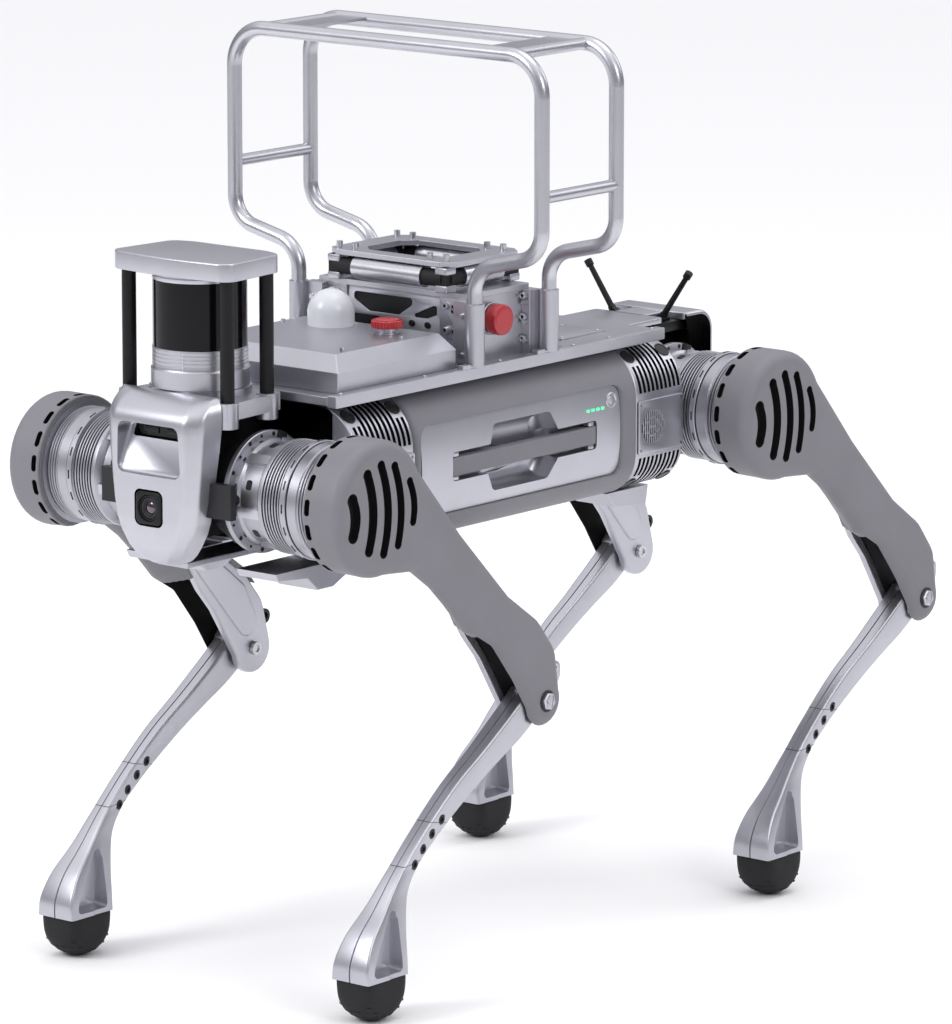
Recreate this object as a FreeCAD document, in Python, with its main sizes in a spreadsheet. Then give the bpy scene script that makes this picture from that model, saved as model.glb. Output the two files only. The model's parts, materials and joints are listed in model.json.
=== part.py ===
import FreeCAD, Part
import Sketcher
import math
import os
import re

# Four-legged walking robot with a side battery, a sensor mast on the head, a payload tower and a roll cage.
# Frame: +X forward, +Y to the robot's left, +Z up, floor at z = 0. The sketches are drawn about the middle
# of the four hip axes; every finished node is then moved forward by datum_shift, so that the origin lies
# under the middle of the whole outline.

Vector = FreeCAD.Vector
Rotation = FreeCAD.Rotation
Placement = FreeCAD.Placement

doc = FreeCAD.newDocument("walking_robot")
sheet = doc.addObject("Spreadsheet::Sheet", "dims")

DIMENSIONS = [
    ("datum_shift", 101.45, "distance from the hip centre to the outline's centre"),
    ("hip_half", 328.5, "half the distance between front and rear pitch axes"),
    ("hip_height", 521.7, "height of the pitch and abduction axes"),
    ("swing_y", 72, "abduction axis, sideways from the middle"),
    ("leg_plane", 199.5, "middle plane of a leg, sideways"),
    ("thigh_run", 257.4, "knee behind the hip at rest"),
    ("thigh_drop", 237.1, "knee below the hip at rest"),
    ("crank_back", 33, "push-rod pin behind its pivot"),
    ("crank_up", 27, "push-rod pin above its pivot"),
    ("pin_rad", 4, "push-rod pins"),
    ("fit_gap", 0.05, "radial clearance of a shaft in its bore"),
    ("run_gap", 0.4, "clearance between faces that turn past each other"),
    ("core_rad", 62, "envelope of the hip joint about the abduction axis"),
    ("ribs_rad", 57.8, "ribbed motor casing"),
    ("motor_end", 145.8, "outer end of the pitch motor"),
    ("drum_rad", 57, "knee motor drum"),
    ("drum_end", 172, "outer end of the knee motor drum"),
    ("rim_rad", 69, "thigh cover rim"),
    ("cheek_in", 174, "inner face of the inner cheek"),
    ("cheek_wall", 10.4, "thickness of the inner cheek"),
    ("cover_in", 214.6, "inner face of the outer cheek"),
    ("cover_out", 222, "outer face of the thigh cover"),
    ("bolt_out", 226.6, "outer face of the knee bolt head"),
    ("knee_bore", 6.05, "knee bore in the calf"),
    ("foot_rad", 35, "rubber foot ball"),
    ("foot_top", 44.5, "top of the rubber foot"),
    ("foot_x", -6.5, "foot centre from the hip axis"),
    ("body_half", 134, "half width of the trunk cover"),
    ("body_low", 446, "underside of the trunk"),
    ("body_high", 606, "top of the trunk cover"),
    ("body_front", 172, "front edge of the trunk cover"),
    ("body_rear", 188, "rear edge of the trunk cover"),
    ("body_end", 262, "ends of the trunk"),
    ("sink_rear", 268, "rear end of the rear heat sinks"),
    ("cover_wall", 4, "trunk cover thickness"),
    ("core_half", 100, "half width of the trunk core"),
    ("arm_wall", 8, "thickness of the outer bearing arms"),
    ("pack_half", 160, "half length of the battery"),
    ("pack_low", 475, "underside of the battery"),
    ("pack_high", 568.5, "top of the battery"),
    ("pack_depth", 190, "battery depth"),
    ("pack_gap", 0.4, "clearance round the battery"),
    ("button_rad", 5.5, "power button"),
    ("bar_half", 112, "half length of the carrying bar"),
    ("bar_tall", 18, "height of the carrying bar"),
    ("deck_top", 615, "top of the deck plate"),
    ("deck_half", 112, "half width of the deck plate"),
    ("rail_out", 124, "outer face of a deck rail"),
    ("rail_top", 617, "top of a deck rail"),
    ("rail_low", 604.5, "underside of a deck rail"),
    ("rail_front", 284, "front end of the rails"),
    ("rail_rear", 246, "rear end of the rails"),
    ("box_half", 110, "half width of the equipment box"),
    ("box_front", 265, "front of the equipment box"),
    ("box_rear", 81, "rear of the equipment box"),
    ("box_side", 636, "top of the upright box sides"),
    ("box_top", 650, "flat top of the equipment box"),
    ("box_slope", 23, "inset of the sloped box edges"),
    ("sheet_wall", 2, "sheet metal thickness"),
    ("dome_rad", 24.3, "antenna dome"),
    ("knob_rad", 16.3, "turning knob"),
    ("tower_front", 46, "front face of the payload tower"),
    ("tower_rear", 45, "rear face of the payload tower"),
    ("tower_half", 97, "outer face of the tower side plates"),
    ("tower_high", 681, "top of the tower side plates"),
    ("tower_top", 687, "upper face of the tower top plate"),
    ("wing_half", 107, "half width of the front and rear plates"),
    ("plate_wall", 4, "tower plate thickness"),
    ("stop_rad", 16, "emergency stop cap"),
    ("damper_rad", 11.5, "isolator tube"),
    ("damper_z", 701, "isolator tube axis"),
    ("bridge_low", 713, "underside of the upper frame plate"),
    ("bridge_top", 718.5, "top of the upper frame plate"),
    ("post_front", 60.8, "front sleeves and hoop"),
    ("post_rear", 59.4, "rear sleeves and hoop"),
    ("post_y", 118, "sleeve axis, sideways"),
    ("sleeve_rad", 10.3, "post sleeve"),
    ("tube_rad", 7.8, "cage tube"),
    ("hoop_half", 205.3, "upright tube axis, sideways"),
    ("hoop_top", 939.4, "top tube axis"),
    ("hoop_bend", 32, "bend radius of the lower bends"),
    ("hoop_corner", 41, "bend radius of the top corners"),
    ("bar_rad", 6.2, "cage bar"),
    ("bar_height", 797.5, "middle bar axis"),
    ("mast_x", 347, "sensor axis"),
    ("mast_rad", 49.4, "sensor base ring"),
    ("mast_low", 625, "underside of the range sensor"),
    ("glass_low", 665, "underside of the sensor window"),
    ("glass_high", 732.6, "top of the sensor window"),
    ("guard_low", 739.8, "underside of the guard plate"),
    ("guard_high", 758, "top of the guard plate"),
    ("pillar_rad", 7.2, "guard pillar"),
    ("face_x", 425, "front face of the head"),
    ("neck_x", 392, "rear edge of the head shell"),
    ("antenna_x", 358.4, "antenna pivots behind the hip centre"),
    ("antenna_y", 32.1, "antenna pivot, sideways"),
    ("antenna_z", 602, "antenna pivot height"),
    ("antenna_len", 64, "antenna length"),
    ("antenna_tilt", 35, "antenna lean in degrees"),
]
for row, (alias, number, meaning) in enumerate(DIMENSIONS, 1):
    sheet.set(f"A{row}", meaning)
    sheet.set(f"B{row}", str(number))
    sheet.setAlias(f"B{row}", alias)
doc.recompute()
NAMES = {alias for alias, number, meaning in DIMENSIONS}


def cell(text):
    """Turn a formula in cell names into one that the document understands."""
    text = str(text)
    return re.sub(r"[a-z][a-z_]*",
                  lambda word: "dims." + word.group() if word.group() in NAMES else word.group(),
                  text)


def value(text):
    return float(sheet.evalExpression(cell(text)))


def bind(item, **formulas):
    for name, text in formulas.items():
        item.setExpression(name.replace("__", "."), cell(text))
    return item


def place(item, x="0", y="0", z="0", rotation=None):
    """Put an item at a formula-driven position."""
    item.Placement = Placement(Vector(value(x), value(y), value(z)), rotation or Rotation())
    return bind(item, Placement__Base__x=x, Placement__Base__y=y, Placement__Base__z=z)


def block(name, x, y, z):
    """A box between two formulas along each axis."""
    item = doc.addObject("Part::Box", name)
    bind(item, Length=f"({x[1]}) - ({x[0]})", Width=f"({y[1]}) - ({y[0]})", Height=f"({z[1]}) - ({z[0]})")
    return place(item, x[0], y[0], z[0])


ALONG = {"x": Rotation(Vector(0, 1, 0), 90), "y": Rotation(Vector(1, 0, 0), -90), "z": Rotation()}


def cylinder(name, axis, centre, span, radius):
    """A cylinder along one axis; centre gives the two other coordinates in x, y, z order."""
    item = doc.addObject("Part::Cylinder", name)
    bind(item, Radius=radius, Height=f"({span[1]}) - ({span[0]})")
    at = {"x": (span[0], *centre), "y": (centre[0], span[0], centre[1]), "z": (*centre, span[0])}[axis]
    return place(item, *at, ALONG[axis])


def cut(name, base, *tools):
    item = doc.addObject("Part::Cut", name)
    item.Base = base
    item.Tool = tools[0] if len(tools) == 1 else fuse(name + "_tools", *tools)
    return item


def fuse(name, *pieces):
    item = doc.addObject("Part::MultiFuse", name)
    item.Shapes = list(pieces)
    return item


def common(name, first, second):
    item = doc.addObject("Part::Common", name)
    item.Base = first
    item.Tool = second
    return item


def mirror(name, source, normal=Vector(0, 1, 0)):
    item = doc.addObject("Part::Mirroring", name)
    item.Source = source
    item.Normal = normal
    return item


def pair(name, source):
    """A piece and its mirror image across the middle plane."""
    return [source, mirror(name + "_other", source)]


def sketch_outline(body, name, points):
    """A closed outline whose corners are all held at formula-driven distances from the origin."""
    sketch = body.newObject("Sketcher::SketchObject", name)
    plane = [item for item in body.Origin.OriginFeatures if item.Role == "XY_Plane"][0]
    sketch.AttachmentSupport = [(plane, "")]
    sketch.MapMode = "FlatFace"
    corners = [Vector(value(a), value(b), 0) for a, b in points]
    count = len(corners)
    for index in range(count):
        sketch.addGeometry(Part.LineSegment(corners[index], corners[(index + 1) % count]))
    for index in range(count):
        sketch.addConstraint(Sketcher.Constraint("Coincident", index, 2, (index + 1) % count, 1))
    for index, (a, b) in enumerate(points):
        for kind, text, number in (("DistanceX", a, corners[index].x), ("DistanceY", b, corners[index].y)):
            spot = sketch.addConstraint(Sketcher.Constraint(kind, -1, 1, index, 1, number))
            sketch.setExpression(f"Constraints[{spot}]", cell(text))
    return sketch


# An outline is drawn in (x, z), (y, z) or (x, y); side, front and plan turn it to stand in that plane.
TURN = {
    "side": Rotation(Vector(1, 0, 0), 90),
    "front": Rotation(Vector(0, 1, 0), Vector(0, 0, 1), Vector(1, 0, 0), "XYZ"),
    "plan": Rotation(),
}


def prism(name, view, points, span, centre=("0", "0"), rounds=()):
    """A pad of an outline between two formulas along the view's own axis, with rounded corners.

    rounds lists (corner numbers, radius formula).
    """
    body = doc.addObject("PartDesign::Body", name)
    sketch = sketch_outline(body, name + "_outline", points)
    pad = body.newObject("PartDesign::Pad", name + "_pad")
    pad.Profile = sketch
    bind(pad, Length=f"({span[1]}) - ({span[0]})")
    doc.recompute()
    tip = pad
    for number, (corners, radius) in enumerate(rounds):
        spots = [Vector(value(points[corner][0]), value(points[corner][1]), 0) for corner in corners]
        edges = [f"Edge{index}" for index, edge in enumerate(tip.Shape.Edges, 1)
                 if len(edge.Vertexes) == 2 and edge.BoundBox.XLength < 1e-6 and edge.BoundBox.YLength < 1e-6
                 and any((Vector(edge.Vertexes[0].X, edge.Vertexes[0].Y,
                                 0) - spot).Length < 1e-4 for spot in spots)]
        fillet = body.newObject("PartDesign::Fillet", f"{name}_round{number}")
        fillet.Base = (tip, edges)
        bind(fillet, Radius=radius)
        doc.recompute()
        tip = fillet
    at = {"side": (centre[0], span[1], centre[1]), "front": (span[0], *centre),
          "plan": (*centre, span[0])}[view]
    return place(body, *at, TURN[view])


def turned(name, axis, points, centre):
    """A revolved body; points are (radius, place along the axis)."""
    body = doc.addObject("PartDesign::Body", name)
    sketch = sketch_outline(body, name + "_section", points)
    turn = body.newObject("PartDesign::Revolution", name + "_turn")
    turn.Profile = sketch
    turn.ReferenceAxis = (sketch, ["V_Axis"])
    turn.Angle = 360
    rotation = {"y": Rotation(), "z": Rotation(Vector(1, 0, 0), 90)}[axis]
    return place(body, *centre, rotation)


def loft(name, first, second):
    """A straight-sided solid between two outlines, each given as (x, points in y and z)."""
    sections = []
    for number, (x, points) in enumerate((first, second)):
        corners = [Vector(value(x), value(a), value(b)) for a, b in points]
        ring = doc.addObject("Part::Feature", f"{name}_ring{number}")
        ring.Shape = Part.makePolygon(corners + corners[:1])
        sections.append(ring)
    item = doc.addObject("Part::Loft", name)
    item.Sections = sections
    item.Solid = True
    item.Ruled = True
    return item


NODES = {}


def node(name, *pieces, shift="datum_shift"):
    """A finished sub-part: its solids, moved from the hip datum to the robot's own origin."""
    item = doc.addObject("Part::Compound", name)
    item.Label = name
    item.Links = list(pieces)
    NODES[name] = place(item, shift)
    return item


def both_ends(points):
    """A half outline (y, z) completed with its mirror image."""
    return list(points) + [(f"-({y})", z) for y, z in reversed(points)]


# ---------------------------------------------------------------- trunk

def body_section(inset):
    """The barrel section of the trunk, inset evenly from the cover's outer face."""
    side = f"body_half - {inset}"
    low = f"body_low + {inset}"
    high = f"body_high - {inset}"
    half = [(f"body_half - 32 - {inset}", low), (side, f"body_low + 32 + {inset}"),
            (side, f"body_high - 42 - {inset}"), (f"body_half - 36 - {inset}", high)]
    return both_ends(half)


def barrel(name, inset, x):
    corners = ((0, 1, 6, 7), "24"), ((2, 3, 4, 5), "34")
    return prism(name, "front", body_section(inset), x, rounds=corners)


def battery_bay(name, inset=0):
    grow = f"pack_gap - {inset}"
    return block(name, (f"-pack_half - ({grow})", f"pack_half + ({grow})"),
                 (f"body_half - pack_depth - ({grow})", "body_half + 1"),
                 (f"pack_low - ({grow})", f"pack_high + ({grow})"))


def stub_shafts(name, *shafts):
    """Swing stub shafts at one end of the trunk, left and right; each is (radius, start, end)."""
    pieces = []
    for radius, start, end in shafts:
        pieces += pair(f"{name}_{radius}", cylinder("stub", "x", ("swing_y", "hip_height"), (start, end),
                                                    radius))
    return pieces


def make_trunk():
    ends = ("-body_end", "body_end")
    core = common("core", block("core_block", ends, ("-core_half", "core_half"), ("body_low", "body_high")),
                  barrel("core_barrel", "cover_wall", ends))
    room = ("482", "560")
    side_room = block("core_side_room", ("-150", "150"), ("-core_half + 8", "0"), room)
    end_room = block("core_end_room", ("-body_end + 10", "body_end - 10"),
                     ("-core_half + 8", "core_half - 8"), room)
    trimmed = cut("core_cut", core, battery_bay("core_bay"), side_room, end_room)
    web = block("front_web", ("body_end", "neck_x"), ("-8", "8"), ("470", "598"))
    arm = block("front_arm", ("neck_x", "neck_x + arm_wall"), ("-86", "86"), ("504", "539"))
    front = fuse("front_end", web, arm)
    rear = mirror("rear_end", front, Vector(1, 0, 0))
    shafts = stub_shafts("front_stub", ("14", "body_end", "hip_half - 50"),
                         ("9", "hip_half + 52", "neck_x"))
    shafts += stub_shafts("rear_stub", ("14", "-neck_x", "-hip_half - 50"),
                          ("9", "-hip_half + 52", "-body_end"))
    tail_block = block("tail_block", ("-neck_x", "-body_end"), ("-26", "26"), ("588", "600"))
    node("trunk_frame", fuse("trunk_all", trimmed, front, rear, *shafts, tail_block))

    shell = cut("cover_shell", barrel("cover_outer", "0", ("-body_rear", "body_front")),
                barrel("cover_inner", "cover_wall", ("-body_rear - 1", "body_front + 1")))
    node("body_cover", cut("cover_open", shell, battery_bay("cover_bay")))


def make_heat_sinks():
    """Finned end blocks with a fan plate on each side."""
    pieces = []
    for name, start, end in (("front", "body_front + 0.2", "body_end"),
                             ("rear", "-sink_rear", "-body_rear - 0.2")):
        outer = barrel(f"sink_{name}_outer", "3", (start, end))
        core = block(f"sink_{name}_core", (f"{start} - 1", f"{end} + 1"), ("-core_half", "core_half"),
                     ("400", "650"))
        slots = []
        for index in range(11 if name == "front" else 10):
            left = f"{start} + 5 + {index} * 7.6"
            for low, high in (("552", "600"), ("448", "488")):
                slots += pair(f"slot_{name}_{index}_{low}",
                              block("slot", (left, f"{left} + 4"), ("114", "150"), (low, high)))
        pieces.append(cut(f"sink_{name}", outer, core, *slots))
        plate = block(f"fan_plate_{name}", (start, end), ("body_half - 3", "body_half"), ("490", "547"))
        pieces += pair(f"fan_plate_{name}", plate)
    node("heat_sinks", *pieces)


BUTTON = ("-pack_half + 11", "pack_high - 15")


def make_battery():
    face = "body_half"
    pack = block("pack_block", ("-pack_half", "pack_half"), (f"{face} - pack_depth", face),
                 ("pack_low", "pack_high"))
    middle = "(pack_low + pack_high) / 2"
    slot = block("bar_slot", ("-bar_half - 2", "bar_half + 2"), (f"{face} - 16", f"{face} + 1"),
                 (f"{middle} - 14", f"{middle} + 14"))
    pocket = block("hand_pocket", ("-48", "48"), (f"{face} - 30", f"{face} + 1"),
                   (f"{middle} - 35", f"{middle} + 35"))
    button_bore = cylinder("button_bore", "y", BUTTON, (f"{face} - 9", f"{face} + 1"),
                           "button_rad + fit_gap")
    node("battery_pack", cut("pack", pack, slot, pocket, button_bore))
    bar = block("bar_block", ("-bar_half", "bar_half"), (f"{face} - 12", f"{face} - 1"),
                (f"{middle} - bar_tall / 2", f"{middle} + bar_tall / 2"))
    ends = [block(f"bar_end{number}", (start, end), (f"{face} - 16", f"{face} - 12"),
                  (f"{middle} - bar_tall / 2", f"{middle} + bar_tall / 2"))
            for number, (start, end) in enumerate((("-bar_half", "-bar_half + 14"),
                                                   ("bar_half - 14", "bar_half")))]
    node("battery_handle", fuse("bar", bar, *ends))
    node("power_button", cylinder("power_cap", "y", BUTTON, (f"{face} - 6", f"{face} + 0.8"), "button_rad"))
    lights = []
    for index in range(4):
        centre = (f"-pack_half + 25 + {index} * 8", "pack_high - 20")
        lights.append(cylinder(f"light{index}", "y", centre, (face, f"{face} + 0.5"), "1.6"))
    node("charge_lights", *lights)


def make_deck():
    plate = block("deck_sheet", ("-rail_rear", "rail_front"), ("-deck_half", "deck_half"),
                  ("body_high", "deck_top"))
    node("deck_plate", plate)
    rail = block("rail", ("-rail_rear", "rail_front"), ("deck_half", "rail_out"), ("rail_low", "rail_top"))
    clear = barrel("rail_clear", "0", ("-body_end - 1", "body_end + 1"))
    node("deck_rails", *[cut(f"rail_cut{number}", side, clear) for number,
                         side in enumerate(pair("rail", rail))])


def make_equipment_box():
    def box_profile(inset):
        return both_ends([(f"box_half - {inset}", "deck_top"),
                          (f"box_half - {inset}", f"box_side - {inset} / 2"),
                          (f"box_half - box_slope - {inset}", f"box_top - {inset}")])

    outer = prism("box_outer", "front", box_profile("0"), ("box_rear", "box_front"))
    nose = [("box_front + 1", "deck_top"), ("box_front + 1", "box_top + 1"),
            ("box_front - box_slope", "box_top + 1"), ("box_front - box_slope", "box_top"),
            ("box_front", "box_side"), ("box_front", "deck_top")]
    wedge = prism("box_nose", "side", nose, ("-box_half - 1", "box_half + 1"))
    hollow = prism("box_hollow", "front", box_profile("sheet_wall"),
                   ("box_rear + sheet_wall", "box_front - box_slope - sheet_wall"))
    bore = cylinder("knob_bore", "z", ("116", "48"), ("box_top - 4", "box_top + 1"), "5 + fit_gap")
    node("equipment_box", cut("box_shell", outer, wedge, hollow, bore))
    ball = doc.addObject("Part::Sphere", "dome_ball")
    bind(ball, Radius="dome_rad")
    place(ball, "109", "-33", "box_top + 13")
    stem = cylinder("dome_stem", "z", ("109", "-33"), ("box_top", "box_top + 13"), "dome_rad")
    under = block("dome_under", ("60", "160"), ("-90", "30"), ("box_top - 30", "box_top"))
    node("antenna_dome", cut("dome", fuse("dome_solid", ball, stem), under))
    knob = [("0", "box_top - 3"), ("5", "box_top - 3"), ("5", "box_top + 0.3"), ("11", "box_top + 0.3"),
            ("11", "box_top + 6"), ("knob_rad", "box_top + 6.5"), ("knob_rad", "box_top + 14"),
            ("knob_rad - 1.5", "box_top + 15.5"), ("0", "box_top + 15.5")]
    node("top_knob", turned("knob", "z", knob, ("116", "48", "0")))


def screw(name, axis, centre, start, radius="2.6", length="4"):
    return cylinder(name, axis, centre, (start, f"{start} + {length}"), radius)


def make_tower():
    wall = "plate_wall"
    front = block("tower_front_block", (f"tower_front - {wall}", "tower_front"),
                  ("-wing_half", "wing_half"),
                  ("deck_top", "tower_high"))
    window = block("tower_window", (f"tower_front - {wall} - 1", "tower_front + 1"), ("-30", "30"),
                   ("656", "671"))
    front_plate = cut("tower_front_plate", front, window)
    rear_plate = block("tower_rear_plate", ("-tower_rear", f"-tower_rear + {wall}"),
                       ("-wing_half", "wing_half"),
                       ("deck_top", "tower_high"))
    inner = (f"-tower_rear + {wall}", f"tower_front - {wall}")
    left = block("tower_left_block", inner, (f"tower_half - {wall}", "tower_half"),
                 ("deck_top", "tower_high"))
    collar = cylinder("stop_collar", "y", ("9", "657"), ("tower_half", "tower_half + 1.8"), "13")
    bore = cylinder("stop_bore", "y", ("9", "657"), ("tower_half - 9", "tower_half + 3"), "5 + fit_gap")
    left_plate = cut("tower_left", fuse("tower_left_solid", left, collar), bore)
    right_plate = mirror("tower_right", left)
    top = block("tower_top_plate", ("-tower_rear - 5", "tower_front + 5"),
                ("-tower_half - 2", "tower_half + 2"),
                ("tower_high", "tower_top"))
    node("tower_plates", front_plate, rear_plate, left_plate, right_plate, top)
    cap = cylinder("stop_cap", "y", ("9", "657"), ("tower_half + 6", "tower_half + 18"), "stop_rad")
    stem = cylinder("stop_stem", "y", ("9", "657"), ("tower_half - 6", "tower_half + 6"), "5")
    node("estop_button", fuse("stop_button", cap, stem))

    screws = []
    for column, x, y, heights in (("a", "tower_front", "80", (628, 668)),
                                  ("b", "tower_front + 13", "100", (626, 666))):
        for z in heights:
            screws += pair(f"screw_{column}{z}", screw("screw", "x", (y, str(z)), x))
    for z in (628, 648, 668):
        screws += pair(f"screw_rear{z}", screw("screw", "x", ("wing_half - 5", str(z)),
                                               f"-tower_rear + {wall}"))
    for x in ("box_rear + 50", "box_front - box_slope - 20"):
        screws += pair(f"lid_screw_{x[-2:]}", screw("lid_screw", "z", (x, "79"), "box_top", "2.4", "3.5"))
    for name, x in (("front", "50"), ("rear", "-42")):
        for y in ("71.5", "50"):
            frame_screw = screw("frame_screw", "z", (x, y), "bridge_top", "3.4", "7")
            screws += pair(f"frame_screw_{name}_{y[:2]}", frame_screw)
    node("tower_screws", *screws)


def make_isolators():
    tubes = []
    for number, x in enumerate(("52", "-51")):
        tubes.append(cylinder(f"cross_tube{number}", "y", (x, "damper_z"), ("-46", "46"), "damper_rad"))
    side = cylinder("side_tube", "x", ("72", "damper_z"), ("-30", "31"), "damper_rad")
    tubes += pair("side_tube", side)
    node("isolator_tubes", *tubes)
    rubbers = []
    for number, (x, edge) in enumerate((("52", "31"), ("-51", "-30"))):
        stub = cylinder(f"stub_cross{number}", "y", (x, "damper_z"), ("46", "72"), "9")
        ends = (edge, x) if number == 0 else (x, edge)
        reach = cylinder(f"stub_side{number}", "x", ("72", "damper_z"), ends, "9")
        clamp = block(f"clamp{number}", (f"{x} - 7", f"{x} + 7"), ("65", "79"), ("tower_top", "bridge_low"))
        rubbers += pair(f"rubber{number}", fuse(f"rubber{number}", stub, reach, clamp))
    node("isolator_rubbers", *rubbers)
    rim = [("-62", "-70"), ("-50", "-84"), ("48", "-84"), ("59", "-70"),
           ("59", "70"), ("48", "84"), ("-50", "84"), ("-62", "70")]
    hole = [("-40", "-40"), ("-26", "-54"), ("26", "-54"), ("40", "-40"),
            ("40", "40"), ("26", "54"), ("-26", "54"), ("-40", "40")]
    plate = prism("bridge_outer", "plan", rim, ("bridge_low", "bridge_top"))
    opening = prism("bridge_hole", "plan", hole, ("bridge_low - 1", "bridge_top + 1"))
    node("isolator_frame", cut("bridge", plate, opening))


def make_sleeves():
    pieces = []
    for name, x, near, far in (("front", "post_front", "tower_front", "tower_front + 13"),
                               ("rear", "-post_rear", "-tower_rear - 12", "-tower_rear")):
        sleeve = cylinder(f"sleeve_{name}", "z", (x, "post_y"), ("rail_top", "tower_high"), "sleeve_rad")
        bracket = block(f"bracket_{name}", (near, far), ("88", "111"), ("rail_top", "tower_high"))
        foot = block(f"foot_{name}", (f"{x} + 15", f"{x} + 27"), ("post_y", "rail_out + 1"),
                     ("rail_top", "rail_top + 4"))
        link = block(f"foot_link_{name}", (x, f"{x} + 15"), ("post_y", "rail_out"),
                     ("rail_top", "rail_top + 2"))
        bore = cylinder(f"sleeve_bore_{name}", "z", (x, "post_y"), ("rail_top + 18", "tower_high + 1"),
                        "tube_rad + 0.1")
        pieces += pair(f"post_{name}", cut(f"post_{name}",
                                           fuse(f"post_{name}_solid", sleeve, bracket, foot, link), bore))
    node("post_sleeves", *pieces)


def bent_tube(name, corners, radii, radius):
    """A tube along straight runs joined by tangent arcs."""
    edges = []
    start = corners[0]
    for before, corner, after, bend in zip(corners, corners[1:], corners[2:], radii):
        back = (before - corner).normalize()
        ahead = (after - corner).normalize()
        turn = math.pi - back.getAngle(ahead)
        reach = bend * math.tan(turn / 2)
        bisector = (back + ahead).normalize()
        centre = corner + bisector * (bend / math.cos(turn / 2))
        first = corner + back * reach
        last = corner + ahead * reach
        edges.append(Part.LineSegment(start, first).toShape())
        edges.append(Part.Arc(first, centre - bisector * bend, last).toShape())
        start = last
    edges.append(Part.LineSegment(start, corners[-1]).toShape())
    path = Part.Wire(edges)
    ring = Part.Wire(Part.makeCircle(radius, corners[0], corners[1] - corners[0]))
    item = doc.addObject("Part::Feature", name)
    item.Shape = path.makePipeShell([ring], True, False)
    return item


def make_cage():
    foot, half = value("post_y"), value("hoop_half")
    low_z, high_z = 717.1, 737.8
    hoops = []
    for name, x in (("front", value("post_front")), ("rear", -value("post_rear"))):
        left = [(foot, value("rail_top") + 20), (foot, low_z), (half, high_z), (half, value("hoop_top"))]
        route = [Vector(x, y, z) for y, z in left] + [Vector(x, -y, z) for y, z in reversed(left)]
        bend, corner = value("hoop_bend"), value("hoop_corner")
        hoops.append(bent_tube(f"hoop_{name}", route, [bend, bend, corner, corner, bend, bend],
                               value("tube_rad")))
    span = ("-post_rear", "post_front")
    rails = pair("mid_bar", cylinder("mid_bar", "x", ("hoop_half", "bar_height"), span, "bar_rad"))
    rails += pair("top_bar", cylinder("top_bar", "x", ("166", "hoop_top"), span, "bar_rad"))
    rails += pair("top_sheet", block("top_sheet", span, ("122", "158"), ("hoop_top + 1", "hoop_top + 4")))
    trimmed = [cut(f"cage_rail{number}", rail, *hoops) for number, rail in enumerate(rails)]
    node("cage_frame", *hoops, *trimmed)


# ---------------------------------------------------------------- head and tail

PILLARS = (("380", "65"), ("313", "58"))


def make_head():
    front = both_ends([("24", "468"), ("44", "496"), ("54", "548"), ("49", "600"), ("44", "606")])
    rear = both_ends([("24", "452"), ("34", "470"), ("60", "545"), ("68", "600"), ("62", "624")])
    solid = loft("head_solid", ("face_x", front), ("neck_x", rear))
    recess = prism("head_recess", "side", [("face_x + 10", "543"), ("face_x + 10", "594"),
                                           ("face_x - 13", "594"),
                                           ("face_x - 13", "580"), ("face_x", "543")], ("-39", "39"))
    socket = block("camera_socket", ("face_x - 20", "face_x + 5"), ("-17", "17"), ("493.5", "527"))
    arm_room = block("arm_room", ("neck_x - 1", "neck_x + 8.2"), ("-87", "87"), ("503.8", "539.2"))
    node("head_shell", cut("head", solid, recess, socket, arm_room))
    body = block("camera_block", ("face_x - 20", "face_x + 0.6"), ("-17", "17"), ("493.5", "527"))
    lens = cylinder("lens", "x", ("0", "510"), ("face_x + 0.6", "face_x + 2"), "8.5")
    strip = block("dark_strip", ("face_x - 13", "face_x - 12.4"), ("-33", "33"), ("580.5", "593.5"))
    node("head_camera", fuse("camera", body, lens), strip)

    plan = [("mast_x - 51", "-60"), ("mast_x - 45", "-66"), ("mast_x + 42", "-72"), ("mast_x + 45", "-64"),
            ("mast_x + 45", "64"), ("mast_x + 42", "72"), ("mast_x - 45", "66"), ("mast_x - 51", "60")]
    slab = prism("platform_slab", "plan", plan, ("600", "617"))
    post = block("platform_post", ("mast_x - 40", "neck_x"), ("-8", "8"), ("598", "600"))
    boss = [pair(f"boss{number}", cylinder(f"boss{number}", "z", spot, ("592", "617.8"), "11"))
            for number, spot in enumerate(PILLARS)]
    seat = cylinder("mast_seat", "z", ("mast_x", "0"), ("617", "mast_low"), "mast_rad + 2")
    head_room = block("head_room", ("neck_x", "face_x"), ("-90", "90"), ("560", "700"))
    solid = fuse("platform_solid", slab, post, seat, *boss[0], *boss[1])
    node("sensor_platform", cut("platform", solid, head_room))


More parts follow.
